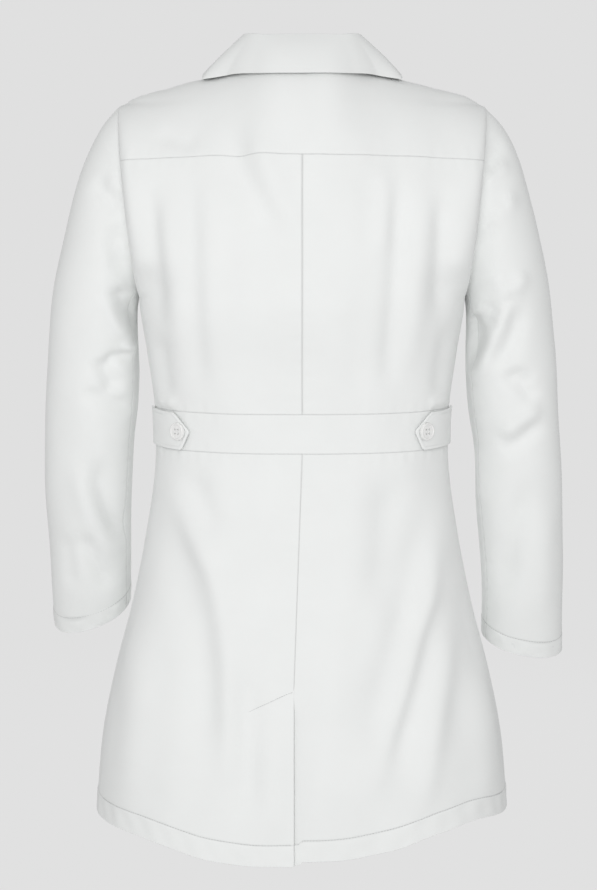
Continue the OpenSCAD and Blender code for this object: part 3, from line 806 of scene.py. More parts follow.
# ---- Inside of the back --------------------------------------------------------------------------
UNDER = CLOTH + 0.2          # how far a layer inside lies below the outer face
TURNED = 0.8                 # thickness of a turned-up hem, and how far it stays above the edge
SIDE_IN = 4.0                # how far a turned-up hem stops short of the side seam
LINING_IN = 14.0             # and the belt's lining
FACING_HALF, FACING_LOW_Z, FACING_RISE = 58.0, -62.0, 20.0


def beneath(d, *parts):
    """The heights that the cloth outside has, but d lower and with no painted shade."""
    outside = together(*parts)

    def height(x, z, dist):
        return outside(x, z, dist)[0] - d + 0 * x, 0 * x
    return height


def facing_edge(a):
    """The lower edge of the back neck facing, lowest in the middle."""
    return FACING_LOW_Z + FACING_RISE * np.abs(across(a) / 0.28) ** 2.4


def hem_end_x(z):
    return side_line(z) - SIDE_IN


body_panel("vent_underlap", BACK, level(VENT_EDGE - 15), level(VENT_EDGE + VENT_UNDER),
           lambda a: back_hem(a) + 2, level(VENT_Z + 4), "", ["vent_underlap"],
           beneath(UNDER, vent_under), ["back_lower_right"], INNER)
body_panel("belt_lining", BACK, lambda z: LINING_IN - side_line(z), lambda z: side_line(z) - LINING_IN,
           level(BELT_LOW_Z + 1), level(BELT_TOP_Z - 1), "", ["belt_lining"], beneath(UNDER),
           ["back_belt"], INNER, step=6)
body_panel("back_neck_facing", BACK, level(-FACING_HALF), level(FACING_HALF), facing_edge,
           lambda a: top_z(a) - 5, "", ["back_neck_facing"], beneath(UNDER), ["back_yoke"], INNER)
for s in (LEFT, RIGHT):
    name = side_names("hem_back", s)
    if s == LEFT:
        ends, vent_side = (level(VENT_EDGE + 1), hem_end_x), vent_lap
    else:
        ends, vent_side = (lambda z: -hem_end_x(z), level(VENT_EDGE - 17)), vent_under
    body_panel(name, BACK, *ends, lambda a: back_hem(a) + TURNED, lambda a: back_hem(a) + HEM_TURN, "",
               [name], beneath(UNDER, vent_side, hem_groove("b")), [side_names("back_lower", s)], INNER,
               thick=TURNED)

LOOP_HALF, LOOP_Z, LOOP_H, LOOP_BOW, LOOP_T = 34.0, -18.0, 7.0, 8.0, 1.2


def loop_grid():
    """A flat tape across the back of the neck, sewn down at both ends."""
    x = np.linspace(-LOOP_HALF, LOOP_HALF, 61)
    y = NECK_BACK - 5.6 - LOOP_BOW * (1 - (x / LOOP_HALF) ** 4)
    z = LOOP_Z + LOOP_H * np.linspace(0, 1, 8)
    xx, zz = np.meshgrid(x, z)
    yy = np.tile(y, (8, 1)) + 0.12 * np.sin(xx / 1.4)
    return facing(np.stack([xx, yy, zz], -1), np.array([0, -1.0, 0]))


tape = shell("hanger_loop", loop_grid(), INNER, LOOP_T)
declare(tape, ["hanger_loop"])


# ---- Fronts -----------------------------------------------------------------------------------------
def lapped(s):
    """The right front rises over the left one near the centre, below the break."""
    def height(x, z, dist):
        on = 1.0 if s == RIGHT else 0.0
        return on * OVER * ease((75 - np.abs(x)) / 45) * ease((-200 - z) / 70), 0 * x
    return height


def edge_stitched(line, inset, depth_mm=0.5):
    """A row of stitches along one edge, pulled in a little, with painted shade along the row."""
    def height(x, z, dist):
        d = dist[line]
        h = -depth_mm * bell(d - inset, 0.9) + 0.35 * bell(d - inset / 2, inset / 2)
        return h, 0.4 * bell(d - inset, 0.5)
    return height


def front_fold(s):
    """Where the cloth bends as this front opens."""
    top = cloth_at(FRONT, s * (LAP + 4), BREAK_Z)
    foot = cloth_at(FRONT, s * FOLD_HEM, HEM_Z)
    return across_line(top, foot, np.array([-s, 0.0, 0.0]), FRONT_BEND_W)


FRONT_BEND = {s: front_fold(s) for s in (LEFT, RIGHT)}
BENDS = {name: ("coat", "vent_flap", VENT_BEND) for name in ("back_lower_left", "hem_back_left")}
BODY_OF = {}


def bends_with_front(name, s):
    BENDS[name] = ("coat", side_names("front_edge", s) + "_flap", FRONT_BEND[s])


def between(s, x0, x1):
    """x0 and x1 as the left and right sides of a panel, for the left or the right front."""
    return (x0, x1) if s == LEFT else (lambda z: -x1(z), lambda z: -x0(z))


EDGE_ROW = 6                 # the row of stitches beside a front's free edge
FACING_W = 38                # the front facing's far edge, out from the roll line
for s in (LEFT, RIGHT):
    front, front_side = side_names("front", s), side_names("front_side", s)
    free, sewn = ("l", "r") if s == LEFT else ("r", "l")
    body_panel(front_side, FRONT, *between(s, princess_x, side_line), front_hem, top_edge, "lrt",
               [front_side], hem_groove("b"), [side_names("back_upper", s)], rows=[HEM_TURN])
    body_panel(front, FRONT, *between(s, front_edge_x, lambda z: princess_x(z) - 2 * GAP), front_hem,
               top_edge, sewn + "t", [front, side_names("front_edge", s)],
               together(lapped(s), hem_groove("b"), edge_stitched(free, EDGE_ROW)), [front_side],
               rows=[HEM_TURN], columns=[EDGE_ROW * s])
    facing_piece = side_names("front_facing", s)
    body_panel(facing_piece, FRONT, *between(s, lambda z: roll_x(z) + 2, lambda z: roll_x(z) + FACING_W),
               level(BREAK_Z + 4), lambda a: top_z(a) - 24, "", [facing_piece], beneath(UNDER, lapped(s)),
               [front], INNER, "facing")
    band = "button_band" if s == LEFT else "buttonhole_band"
    body_panel(band, FRONT, *between(s, level(1.5 - LAP), level(LAP - 1)), lambda a: front_hem(a) + 2,
               level(BREAK_Z - 5), "", [band], beneath(UNDER, lapped(s)), [front], INNER, "facing")
    hem = side_names("hem_front", s)
    body_panel(hem, FRONT, *between(s, level(LAP + 2), hem_end_x), lambda a: front_hem(a) + TURNED,
               lambda a: front_hem(a) + HEM_TURN, "", [hem], beneath(UNDER, lapped(s), hem_groove("b")),
               [front], INNER, thick=TURNED)
    for name in (front, facing_piece, band, hem):
        bends_with_front(name, s)

NOTCH_Z, LAPEL_W, LAPEL_L, LAPEL_T = -72.0, 62.0, 300, 1.5
ROLL_SECTION = [(0.6, 0.1), (-0.8, 0.45), (-1.7, 1.3), (-1.9, 2.3), (-1.2, 3.2), (0.4, 3.8)]


def lapel_grid(s):
    """The lapel turns back over the roll line and lies on the front, up to the gorge."""
    low_z = BREAK_Z + (13 if s == LEFT else 3)
    v = marks(LAPEL_L, stitched=[-EDGE_ROW])[:, None]
    z_roll = mix(low_z, -39, v)
    wide = mix(3, LAPEL_W, np.sin(math.pi / 2 * np.clip(v, 0, 1) ** 0.85))
    u = marks(LAPEL_W, stitched=[-EDGE_ROW])[None, 1:]
    z_edge = mix(low_z, NOTCH_Z, v)
    roll = roll_x(z_roll)
    turn_x = roll + np.array([p[0] for p in ROLL_SECTION])[None]
    turn_d = np.array([p[1] for p in ROLL_SECTION])[None] + 0 * v
    flat_x = roll + mix(0.4, wide, u)
    flat_d = mix(3.8, 2.9, u) + 1.3 * np.sin(math.pi * u) * v + 1.5 * (1 - v) * (1 - u)
    x = np.concatenate([turn_x, flat_x], 1)
    d = np.concatenate([turn_d, flat_d], 1)
    z = np.concatenate([z_roll + 0 * turn_x, mix(z_roll, z_edge, u)], 1)
    h = body_height(FRONT, s * x, z) + lapped(s)(x, z, None)[0] + d
    p = skin(FRONT, angle_at(x, z), z)
    p = (p + h[..., None] * out(p)) * np.array([s, 1, 1])
    edge = np.linalg.norm(p - p[:, -1:], axis=-1)
    top = np.linalg.norm(p - p[-1:], axis=-1)
    near = np.minimum(edge, top)
    p = p - (0.45 * bell(near - EDGE_ROW, 0.9))[..., None] * out(p)
    if normals(p)[5, 12] @ out(p[5, 12]) < 0:
        p, near = p[:, ::-1], near[:, ::-1]
    # the second value is painted shade along the edge row of stitches
    return p, 0.4 * bell(near - EDGE_ROW, 0.5)


for s in (LEFT, RIGHT):
    name = side_names("lapel", s)
    grid, painted_shade = lapel_grid(s)
    declare(shell(name, grid, WHITE, LAPEL_T, painted_shade), [name])
    bends_with_front(name, s)


# ---- Pockets ----------------------------------------------------------------------------------------
POCKET_ROW, POCKET_ROUND = 2.2, 14


def puffed(rise, mouth):
    """A patch sewn down on three sides, standing a little open along its top, with a stitched top hem and
    painted shade along its rows of stitches.
    """
    def height(x, z, dist):
        u = dist["l"] / (dist["l"] + dist["r"])
        v = dist["b"] / (dist["b"] + dist["t"])
        puff = rise * np.sin(math.pi * u) ** 0.7 * np.sin(math.pi / 2 * np.clip(1.6 * v, 0, 1))
        edge = np.minimum(np.minimum(dist["l"], dist["r"]), dist["b"])
        groove = -0.45 * bell(edge - POCKET_ROW, 0.8) - 0.5 * bell(dist["t"] - mouth, 0.9)
        wave = 0.35 * np.sin(dist["b"] / 9 + dist["l"] / 13) * ease(edge / 12)
        painted_shade = np.maximum(0.45 * bell(edge - POCKET_ROW, 0.5), 0.5 * bell(dist["t"] - mouth, 0.6))
        return CLOTH + 0.25 + puff + groove + wave, painted_shade
    return height


def rounded(low_z, radius, line, inward):
    """A side line that curves in towards the bottom corner."""
    def x(z):
        t = np.clip((radius - (z - low_z)) / radius, 0, 1)
        return line(z) + inward * radius * (1 - np.sqrt(1 - t * t))
    return x


POCKET_IN, POCKET_W, POCKET_H, POCKET_TOP = 82.0, 130.0, 165.0, -505.0
CHEST_IN, CHEST_OUT, CHEST_TOP, CHEST_H = 92.0, 158.0, -178.0, 92.0


def pocket(name, s, x0, x1, top, h, rise, mouth, hangs_from):
    low_z = top - h
    sides = between(s, rounded(low_z, POCKET_ROUND, x0, 1), rounded(low_z, POCKET_ROUND, x1, -1))
    body_panel(name, FRONT, *sides, level(low_z), level(top), "", [name], puffed(rise, mouth), [hangs_from],
               rows=[-mouth, POCKET_ROW], columns=[POCKET_ROW, -POCKET_ROW])


def pocket_side(z):
    """The outer side of a lower pocket, further out towards its foot."""
    return POCKET_IN + POCKET_W * mix(0.72, 0.88, (POCKET_TOP - z) / POCKET_H)


for s in (LEFT, RIGHT):
    pocket(side_names("pocket", s), s, level(POCKET_IN), pocket_side, POCKET_TOP, POCKET_H, 5.0, 24,
           side_names("front_side", s))
pocket("chest_pocket", LEFT, level(CHEST_IN), level(CHEST_OUT), CHEST_TOP, CHEST_H, 3.6, 20,
       "front_side_left")


# ---- Collar -----------------------------------------------------------------------------------------
COLLAR_END = 138.0           # degrees round the neck, from the centre back to each front end
STAND_L, FALL_L = 34, 52     # from the neck seam up to the roll, and from there down to the edge
COLLAR_STEP = 4


def over_body(side, x, y):
    """Height of the body's surface at a distance y behind or in front of the shoulder line."""
    a = np.arcsin(np.clip(np.abs(x) / SHOULDER_HALF, 0, 1) ** (ROUND_N / 2))
    y0 = nape(x) if side == BACK else 0
    g = np.clip((np.abs(y) - y0) / (depth(side, ARM_Z) * np.cos(a) ** (2 / ROUND_N) - y0), 0, 1)
    return mix(shoulder_z(x), ARM_Z, 1 - (1 - g ** ROLL_P) ** (1 / ROLL_P))


def behind_neck(x, z):
    """How far behind the shoulder line the back's surface is at this height."""
    a = np.arcsin(np.clip(np.abs(x) / SHOULDER_HALF, 0, 1) ** (ROUND_N / 2))
    t = np.clip((shoulder_z(x) - z) / (shoulder_z(x) - ARM_Z), 0, 1)
    return mix(nape(x), BACK_DEPTH * np.cos(a) ** (2 / ROUND_N), roll_over(t)) * (t > 0)


def collar_lines(b):
    """The neck seam, the roll and the outer edge of the collar at b degrees from the centre back."""
    c, u = np.minimum(np.abs(b), 90), np.clip((np.abs(b) - 90) / (COLLAR_END - 90), 0, 1)
    sn, cs = np.sin(np.radians(c)), np.cos(np.radians(c))

    def line(x, y, z_back, lift):
        front = over_body(FRONT, x, y) + lift
        return np.stack([np.sign(b) * x, y, np.where(u > 0, front, z_back)], -1)
    neck = line(mix(71, 64, u) * sn, 67 * cs - 76 * u, mix(-1, 1, (c / 90) ** 2), -1.0)
    sides = 4.4 * ease((c - 15) / 58) - 2.4 * ease((c - 74) / 16)
    roll = line(mix(65, 67, u) * sn ** 0.6, 62 * cs ** 0.62 - 78 * u, 31 + sides, mix(31.1, 6, ease(u)))
    x = mix(110, 101, u) * sn
    z = -11.8 + 3.2 * bell(x - 72, 26) + 8.6 * ease((c - 76) / 14)
    y = np.maximum(91 * cs ** 1.6, behind_neck(x, z - 3.4) * ease((90 - c) / 10)) - 70 * u
    edge = line(x, y, z, mix(3.6, 5.0, u))
    return neck, roll, edge


def collar_section(offset, first=0.0, last=1.0):
    """The collar's cloth from the neck seam up, over the roll and down to its edge."""
    b = np.linspace(-COLLAR_END, COLLAR_END, 131)
    neck, roll, edge = collar_lines(b)
    away = np.stack([np.sin(np.radians(b)), np.cos(np.radians(b)), 0 * b], -1)

    def across_leaf(p, q, toward):
        n = unit(np.cross(np.gradient(p + q, axis=0), q - p))
        return n * np.sign(np.sum(n * toward, -1, keepdims=True))
    inside = across_leaf(neck, roll, -away)
    outside = across_leaf(roll, edge, away + np.array([0, 0, 0.6]))
    rows = []
    for t in marks(STAND_L, COLLAR_STEP)[:-4]:
        rows.append(mix(neck, roll, mix(first, 1, t)) + offset * inside)
    for t in np.linspace(0.0, 1, 9):
        rows.append(roll + offset * unit(mix(inside, outside, t)))
    for t in marks(FALL_L, COLLAR_STEP, stitched=[-EDGE_ROW])[4:]:
        down = t * last
        bow = 4 * 2.2 * down * (1 - down)
        rows.append(mix(roll, edge, down) + (offset + bow) * outside)
    p = np.stack(rows)
    return p, np.stack([outside] * len(rows))


def collar_piece(name, offset, nodes, material, last):
    p, outside = collar_section(offset, 0.0, last)
    ripple = 0.25 * np.sin(p[..., 0] / 17 + 1) * np.sin(p[..., 2] / 9)
    p = p + ripple[..., None] * outside
    if np.sum(normals(p)[-12:] * outside[-12:]) < 0:
        p = p[:, ::-1]
    dist = edge_distances(p)
    rim = np.minimum(np.minimum(dist["l"], dist["r"]), dist["t"])
    fall = ease((dist["b"] - 45) / 6)
    n = normals(p)
    p = p + (fall * (-0.12 * bell(rim - EDGE_ROW, 0.9)) - 0.4 * bell(dist["b"], 1.0))[..., None] * n
    return declare(shell(name, p, material), nodes)


collar_piece("upper_collar", 2.5, ["collar_fall", "collar_stand"], WHITE, 1.0)
collar_piece("under_collar", 1.15, ["collar_lining"], INNER, 0.97)


# ---- Sleeves ----------------------------------------------------------------------------------------
# Each row: outer edge x z, inner edge x z, shift in y, half depth in y, forward lean in degrees.
SLEEVES = {
    LEFT: [
        (204, -36, 185, -245, 0, 58, 0), (233, -66, 187, -250, 0, 60, 0), (251, -114, 189, -262, 0, 62, 0),
        (267, -168, 190, -282, -2, 62, 0), (282, -230, 190, -308, -4, 60, 0),
        (291, -290, 190, -340, -6, 57, 0), (297, -350, 192, -376, -9, 54, 2),
        (301, -410, 198, -420, -14, 51, 6), (304, -466, 202, -466, -22, 49, 11),
        (305, -520, 205, -516, -33, 47, 16), (306, -575, 208, -566, -47, 45, 20),
        (307, -648, 212, -622, -67, 43, 23),
    ],
    RIGHT: [
        (204, -36, 185, -245, 0, 58, 0), (237, -68, 187, -250, 0, 60, 0), (250, -112, 189, -262, 0, 62, 0),
        (268, -172, 190, -282, -2, 62, 0), (283, -235, 190, -306, -4, 60, 0),
        (291, -300, 191, -338, -5, 57, 0), (296, -362, 195, -378, -7, 54, 2),
        (303, -425, 203, -430, -11, 51, 4), (309, -490, 207, -488, -17, 49, 8),
        (313, -550, 213, -545, -25, 47, 11), (316, -610, 219, -603, -35, 45, 13),
        (319, -676, 221, -659, -48, 43, 14),
    ],
}
CUFF_K = 11.0
BACK_SEAM, FRONT_SEAM = math.radians(158), math.radians(128)
CUFF_TURN = 21.0
SLEEVE_GAIN = 1.75
# Folds of the back of each sleeve, as x, z points, half width and height
SLEEVE_FOLDS = {
    LEFT: [
        ([(230, -116), (212, -134), (194, -153)], 8, -2.8),
        ([(216, -116), (205, -127), (194, -139)], 6, 1.8),
        ([(206, -165), (205, -196), (198, -226)], 9, -2.8),
        ([(209, -232), (199, -261), (186, -277), (172, -284)], 9, -6.5),
        ([(214, -238), (208, -267), (193, -298)], 8, 3.6),
        ([(206, -299), (192, -303), (176, -308)], 6, 3.0),
        ([(226, -310), (216, -338), (206, -358)], 9, -5.0),
        ([(222, -315), (208, -315), (192, -313)], 6, -3.2),
        ([(250, -350), (222, -362), (192, -375)], 7, -3.2),
        ([(238, -425), (230, -470), (218, -510), (204, -540)], 10, -4.2),
        ([(256, -430), (250, -480), (236, -530), (220, -568)], 10, 3.0),
        ([(258, -515), (243, -562), (226, -603)], 9, -3.4),
        ([(275, -520), (274, -600)], 8, -1.8),
    ],
    RIGHT: [
        ([(-199, -119), (-210, -92), (-220, -70)], 7, -2.6),
        ([(-196, -124), (-212, -110), (-229, -98)], 6, 2.4),
        ([(-200, -166), (-214, -152), (-229, -140)], 7, -2.8),
        ([(-193, -184), (-211, -158), (-240, -132)], 7, 3.4),
        ([(-231, -240), (-220, -281), (-206, -315), (-190, -345)], 9, 5.6),
        ([(-206, -222), (-219, -236), (-229, -250)], 7, 2.6),
        ([(-247, -218), (-238, -234), (-229, -250)], 7, 2.6),
        ([(-239, -250), (-230, -294), (-213, -333)], 9, -4.0),
        ([(-213, -250), (-207, -284)], 8, -2.8),
        ([(-184, -262), (-196, -296), (-184, -338)], 10, -7.0),
        ([(-222, -345), (-240, -334), (-262, -344)], 7, -2.6),
        ([(-229, -326), (-247, -345), (-266, -364)], 7, -3.4),
        ([(-222, -408), (-248, -386), (-272, -366)], 9, 3.8),
        ([(-226, -425), (-252, -404), (-276, -386)], 8, -3.0),
        ([(-197, -410), (-201, -445), (-205, -498)], 10, 2.2),
        ([(-262, -446), (-244, -529), (-236, -610)], 12, -3.4),
        ([(-285, -470), (-283, -560), (-280, -640)], 12, 2.0),
    ],
}
# Folds of the front of each sleeve, for the left one; the right one has them on the other side.
SLEEVE_FRONT_FOLDS = [
    ([(214, -120), (202, -150), (194, -185)], 8, -3.0),
    ([(230, -150), (214, -190), (200, -222)], 8, 2.4),
    ([(262, -330), (232, -318), (196, -322)], 8, -4.0),
    ([(268, -352), (238, -344), (200, -352)], 8, 3.4),
    ([(270, -380), (240, -378), (205, -390)], 8, -3.6),
    ([(245, -430), (240, -500), (235, -560)], 12, -2.8),
    ([(280, -450), (276, -530), (274, -600)], 12, 2.2),
]


def sleeve_at(s, k, q, d=0.0):
    """k counts rows down the sleeve; q is 0 on the outside, then 90 degrees behind and 180 inside."""
    k, q = np.broadcast_arrays(np.asarray(k, float), np.asarray(q, float))
    rows = np.array(SLEEVES[s], float)
    m = [smooth(k, list(enumerate(rows[:, i]))) for i in range(7)]
    centre = np.stack([(m[0] + m[2]) / 2, m[4], (m[1] + m[3]) / 2], -1)
    u = np.stack([(m[0] - m[2]) / 2, 0 * k, (m[1] - m[3]) / 2], -1)
    far = np.linalg.norm(u, axis=-1)
    lean = np.radians(m[6])
    v = np.stack([0 * k, np.cos(lean), -np.sin(lean)], -1)
    p = (centre + u * (np.cos(q) * (far + d) / far)[..., None] + v * (np.sin(q) * (m[5] + d))[..., None])
    z0 = ARM_MID_Z + (ARM_HALF_H + d) * np.cos(q)
    ring = np.stack([half_w(z0) + 0.35, (ARM_HALF_W + d) * np.sin(q), z0], -1)
    return mix(ring, p, ease(k / 2)[..., None]) * np.array([s, 1, 1])


def sleeve_height(s, k, q, p):
    x, z = p[..., 0], p[..., 2]
    h = drape(x + 90, z)
    behind = ease((np.sin(q) + 0.1) / 0.5)
    for points, width, height in SLEEVE_FOLDS[s]:
        h = h + SLEEVE_GAIN * behind * fold(x, z, points, FOLD_SPREAD * width, height)
    before = ease((0.1 - np.sin(q)) / 0.5)
    for points, width, height in SLEEVE_FRONT_FOLDS:
        h = h + before * fold(np.abs(x), z, points, width, height)
    return h * ease(k / 0.7)


def sleeve_piece(name, s, q0, q1, k0, k1, seams, d, material, thick, extra, hangs_from):
    """The part of a sleeve between the angles q0 and q1 and the rows k0 and k1."""
    arc = np.linalg.norm(np.diff(sleeve_at(s, 5.0, np.linspace(q0, q1, 40)), axis=0), axis=1).sum()
    fall = np.linalg.norm(np.diff(sleeve_at(s, np.linspace(k0, k1, 40), 0.5), axis=0), axis=1).sum()
    q, k = np.meshgrid(mix(q0, q1, marks(arc)), mix(k1, k0, marks(fall, stitched=[CUFF_TURN])))
    base = sleeve_at(s, k, q)
    away = unit(sleeve_at(s, k, q, 4.0) - base)
    if np.sum(normals(base) * away) < 0:
        base, away, k, q = (g[:, ::-1] for g in (base, away, k, q))
    dist = edge_distances(base)
    h, painted_shade = seam_height(dist, seams, phase=len(name))
    more, more_painted_shade = extra(base[..., 0], base[..., 2], dist)
    p = base + (sleeve_height(s, k, q, base) + h + more + d)[..., None] * away
    return declare(shell(name, p, material, thick, np.maximum(painted_shade, more_painted_shade)), [name])


HALF_SEAM = 0.0022           # half the gap between the two parts of a sleeve, as an angle
HEM_ROWS = (CUFF_K - 0.36, CUFF_K - 0.015)
HEM_ENDS = math.pi - 0.02
ARM_BEND = (0.2185, 0.264)   # where a sleeve's bend starts and ends, in metres from the origin
ARM_SLOPE = math.radians(8)
for s in (LEFT, RIGHT):
    cuff = hem_groove("b", CUFF_TURN)
    back_upper = side_names("back_upper", s)
    for part, q0, q1, above in (("top_sleeve", -FRONT_SEAM, BACK_SEAM, "back_yoke"),
                                ("under_sleeve", BACK_SEAM, 2 * math.pi - FRONT_SEAM, back_upper)):
        sleeve_piece(side_names(part, s), s, q0 + HALF_SEAM, q1 - HALF_SEAM, 0, CUFF_K, "lrt", 0.0, WHITE,
                     CLOTH, cuff, above)
    sleeve_piece(side_names("sleeve_hem", s), s, -HEM_ENDS, HEM_ENDS, *HEM_ROWS, "", -UNDER, INNER, TURNED,
                 cuff, side_names("top_sleeve", s))
    way = np.array([s * math.cos(ARM_SLOPE), 0.0, -math.sin(ARM_SLOPE)])
    for part in ("top_sleeve", "under_sleeve"):
        ends = tuple(tuple(d * way) for d in ARM_BEND)
        BENDS[side_names(part, s)] = ("coat", side_names("sleeve", s), ends)
    BODY_OF[side_names("sleeve_hem", s)] = side_names("sleeve", s)


# ---- Belt tabs ---------------------------------------------------------------------------------------
TAB_MID_Z = (BELT_TOP_Z + BELT_LOW_Z) / 2
TAB_H, TAB_ROOT, TAB_T = 41.0, 169.0, 2.3
TAB_ROW = 4.2                # the stitches inside a tab's edge
TAB_BEND_W = 12.0
TAB_END, TAB_STEP = 125, 1.6
BUTTON_X = 133.0
TAB_SHAPE = [(-1, 132.5), (-0.92, 130.6), (-0.1, 122.6), (0.02, 122.2), (0.14, 123.0), (0.9, 137.2), (1, 140)]


def tab_grid(s):
    """Sewn in at the side seam, with a blunt point; it lifts towards the button that holds it."""
    v = marks(TAB_H, TAB_STEP)[:, None] * 2 - 1
    u = marks(TAB_ROOT - TAB_END, TAB_STEP)[None]
    tip = np.interp(v, *np.array(TAB_SHAPE).T)
    x = mix(TAB_ROOT, tip, u)
    z = TAB_MID_Z + v * (TAB_H / 2) * mix(1.0, 0.985, np.sin(math.pi * u))
    lift = mix(TAB_T + 1.2, 6.0, ease((TAB_ROOT - x) / 30)) - 1.6 * ease((BUTTON_X - 6 - x) / 12)
    curl = 0.5 * np.sin(v * 2.4 + 0.6) * ease((TAB_ROOT - x) / 20)
    p = skin(BACK, angle_at(x, z), z) + (lift + curl)[..., None] * out(skin(BACK, angle_at(x, z), z))
    p = p * np.array([s, 1, 1])
    p = facing(p, out(p))
    dist = edge_distances(p)
    root = dist["l"] if abs(p[3, 0, 0]) > abs(p[3, -1, 0]) else dist["r"]
    free = dist["r"] if root is dist["l"] else dist["l"]
    near = np.minimum(np.minimum(dist["b"], dist["t"]), free)
    dent = -0.5 * bell(near - TAB_ROW, 0.8) + 0.25 * bell(near - 2, 1.2)
    # painted shade along the stitch row inside the tab's edge and where its root goes into the side seam
    painted_shade = np.maximum(0.5 * bell(near - TAB_ROW, 0.5), 0.6 * bell(root, 0.8))
    return p + dent[..., None] * out(p), painted_shade


for s in (LEFT, RIGHT):
    name = side_names("tab", s)
    grid, painted_shade = tab_grid(s)
    declare(shell(name, grid, WHITE, TAB_T, painted_shade, bulge=0.5), [name, side_names("tab_lining", s)])
    bend = [skin(BACK, angle_at(x, TAB_MID_Z), TAB_MID_Z) * np.array([s, 1, 1])
            for x in (TAB_ROOT, TAB_ROOT - TAB_BEND_W)]
    BENDS[name] = ("coat", side_names("belt_tab", s), tuple(tuple(p * MM) for p in bend))


# ---- Buttonholes, thread and stitches -----------------------------------------------------------------
def tube(path, radius, sides=8, flat=1.0, up=None):
    """Vertices and faces of a closed ring of cord along a closed path; flat squeezes it along up."""
    path = np.asarray(path, float)
    n = len(path)
    t = unit(np.roll(path, -1, 0) - np.roll(path, 1, 0))
    w = unit(np.cross(t, up))
    r = np.broadcast_to(radius, (n,))
    verts = []
    for k in range(sides):
        q = 2 * math.pi * k / sides
        verts.append(path + r[:, None] * (math.cos(q) * w + flat * math.sin(q) * up))
    verts = np.stack(verts, 1).reshape(-1, 3)
    faces = []
    for i in range(n):
        a, b = i * sides, (i + 1) % n * sides
        faces += [[a + k, b + k, b + (k + 1) % sides, a + (k + 1) % sides] for k in range(sides)]
    return verts, faces


def buttonhole(centre, along_dir, up, length=24.0):
    """A ring of close satin stitches round a slit."""
    half, r = length / 2, 1.15
    arc = np.linspace(0, 1, 14)[1:-1] * math.pi
    run = np.linspace(-half, half, 64)
    side = np.cross(up, along_dir)
    a = [(x, r) for x in run] + [(half + r * math.sin(t), r * math.cos(t)) for t in arc]
    b = [(-x, -r) for x in run] + [(-half - r * math.sin(t), -r * math.cos(t)) for t in arc]
    path = np.array([centre + x * along_dir + y * side for x, y in a + b])
    ridge = 0.85 + 0.12 * np.sin(np.arange(len(path)) * math.pi * 0.9)
    return tube(path, ridge, flat=0.45, up=up)


def post(foot, top, radius):
    """A short wound column of thread from foot to top."""
    up = unit(top - foot)
    side = unit(np.cross(up, [0.3, 0.2, 1.0]))
    other = np.cross(up, side)
    sides, rings = 10, 12
    verts = []
    for i, t in enumerate(np.linspace(0, 1, rings)):
        wound = radius * (1 + 0.12 * math.cos(i * math.pi))
        for q in np.linspace(0, 2 * math.pi, sides, endpoint=False):
            verts.append(mix(foot, top, t) + wound * (math.cos(q) * side + math.sin(q) * other))
    faces = []
    for a in range(0, (rings - 1) * sides, sides):
        for k in range(sides):
            k1 = (k + 1) % sides
            faces.append([a + k, a + k1, a + sides + k1, a + sides + k])
    faces += [list(range(sides))[::-1], [(rings - 1) * sides + k for k in range(sides)]]
    return np.array(verts), faces


BUTTON_TOP, BUTTON_GAP, FRONT_BUTTONS = BREAK_Z - 22, 112.0, 4
TAB_BUTTON_D, FRONT_BUTTON_D = 2 * LAYER + 2 * CLOTH + 1.4, OVER + 1.4
HOLE_OFF = 2.2               # a button's holes, from its middle
HOLE_X, HOLE_L = -8.5, 21.0
TAB_HOLE_X, TAB_HOLE_D, TAB_HOLE_L = 134.0, 6.3, 19.0


def button_frame(side, x, z, d):
    """A button's base point, its way out, and its two axes."""
    p = skin(side, angle_at(x, z), z)
    n = out(p)
    across_dir = unit(np.cross(n, [0, 0, 1.0]))
    return p + d * n, n, across_dir, np.cross(n, across_dir)


shanks, holes = [], []
for i in range(FRONT_BUTTONS):
    z = BUTTON_TOP - i * BUTTON_GAP
    p, n, _, _ = button_frame(FRONT, 0.0, z, FRONT_BUTTON_D)
    shanks.append(post(cloth_at(FRONT, 0.0, z), p - 0.05 * n, 1.5))
    up = cloth_normal(FRONT, -8.0, z)
    slit = unit(cloth_at(FRONT, 2.0, z) - cloth_at(FRONT, -LAP, z))
    holes.append(buttonhole(cloth_at(FRONT, HOLE_X, z, OVER + 0.1), slit, up, HOLE_L))
joined("front_shanks", shanks)
BODY_OF["front_shanks"] = "front_edge_left_flap"
joined("front_buttonholes", holes)
bends_with_front("front_buttonholes", RIGHT)

for s in (LEFT, RIGHT):
    p, n, a, b = button_frame(BACK, s * BUTTON_X, TAB_MID_Z, TAB_BUTTON_D)
    joined(side_names("tab_shank", s), [post(cloth_at(BACK, s * BUTTON_X, TAB_MID_Z), p - 0.05 * n, 1.3)])
    crossing = []
    for side in (-1, 1):
        ends = [p + (side * HOLE_OFF * a + t * HOLE_OFF * b) for t in (-1, 1)]
        lift = [ends[0] + 0.4 * n, ends[0] + 2.3 * n, ends[1] + 2.3 * n, ends[1] + 0.4 * n]
        mid = [mix(lift[1], lift[2], t) + 0.2 * math.sin(math.pi * t) * n for t in np.linspace(0.15, 0.85, 5)]
        path = np.array([lift[0], mix(lift[0], lift[1], 0.8)] + mid + [mix(lift[3], lift[2], 0.8), lift[3]])
        back = path[::-1] - 0.45 * a
        crossing.append(tube(np.concatenate([path, back]), 0.33, up=a))
    joined(side_names("tab_threads", s), crossing)
    slit = unit(cloth_at(BACK, s * (BUTTON_X + 8), TAB_MID_Z) - cloth_at(BACK, s * (BUTTON_X - 8), TAB_MID_Z))
    name = side_names("tab_buttonhole", s)
    hole_at = skin(BACK, angle_at(s * TAB_HOLE_X, TAB_MID_Z), TAB_MID_Z) + TAB_HOLE_D * n
    joined(name, [buttonhole(hole_at, slit, n, TAB_HOLE_L)])
    BODY_OF[name] = side_names("belt_tab", s)


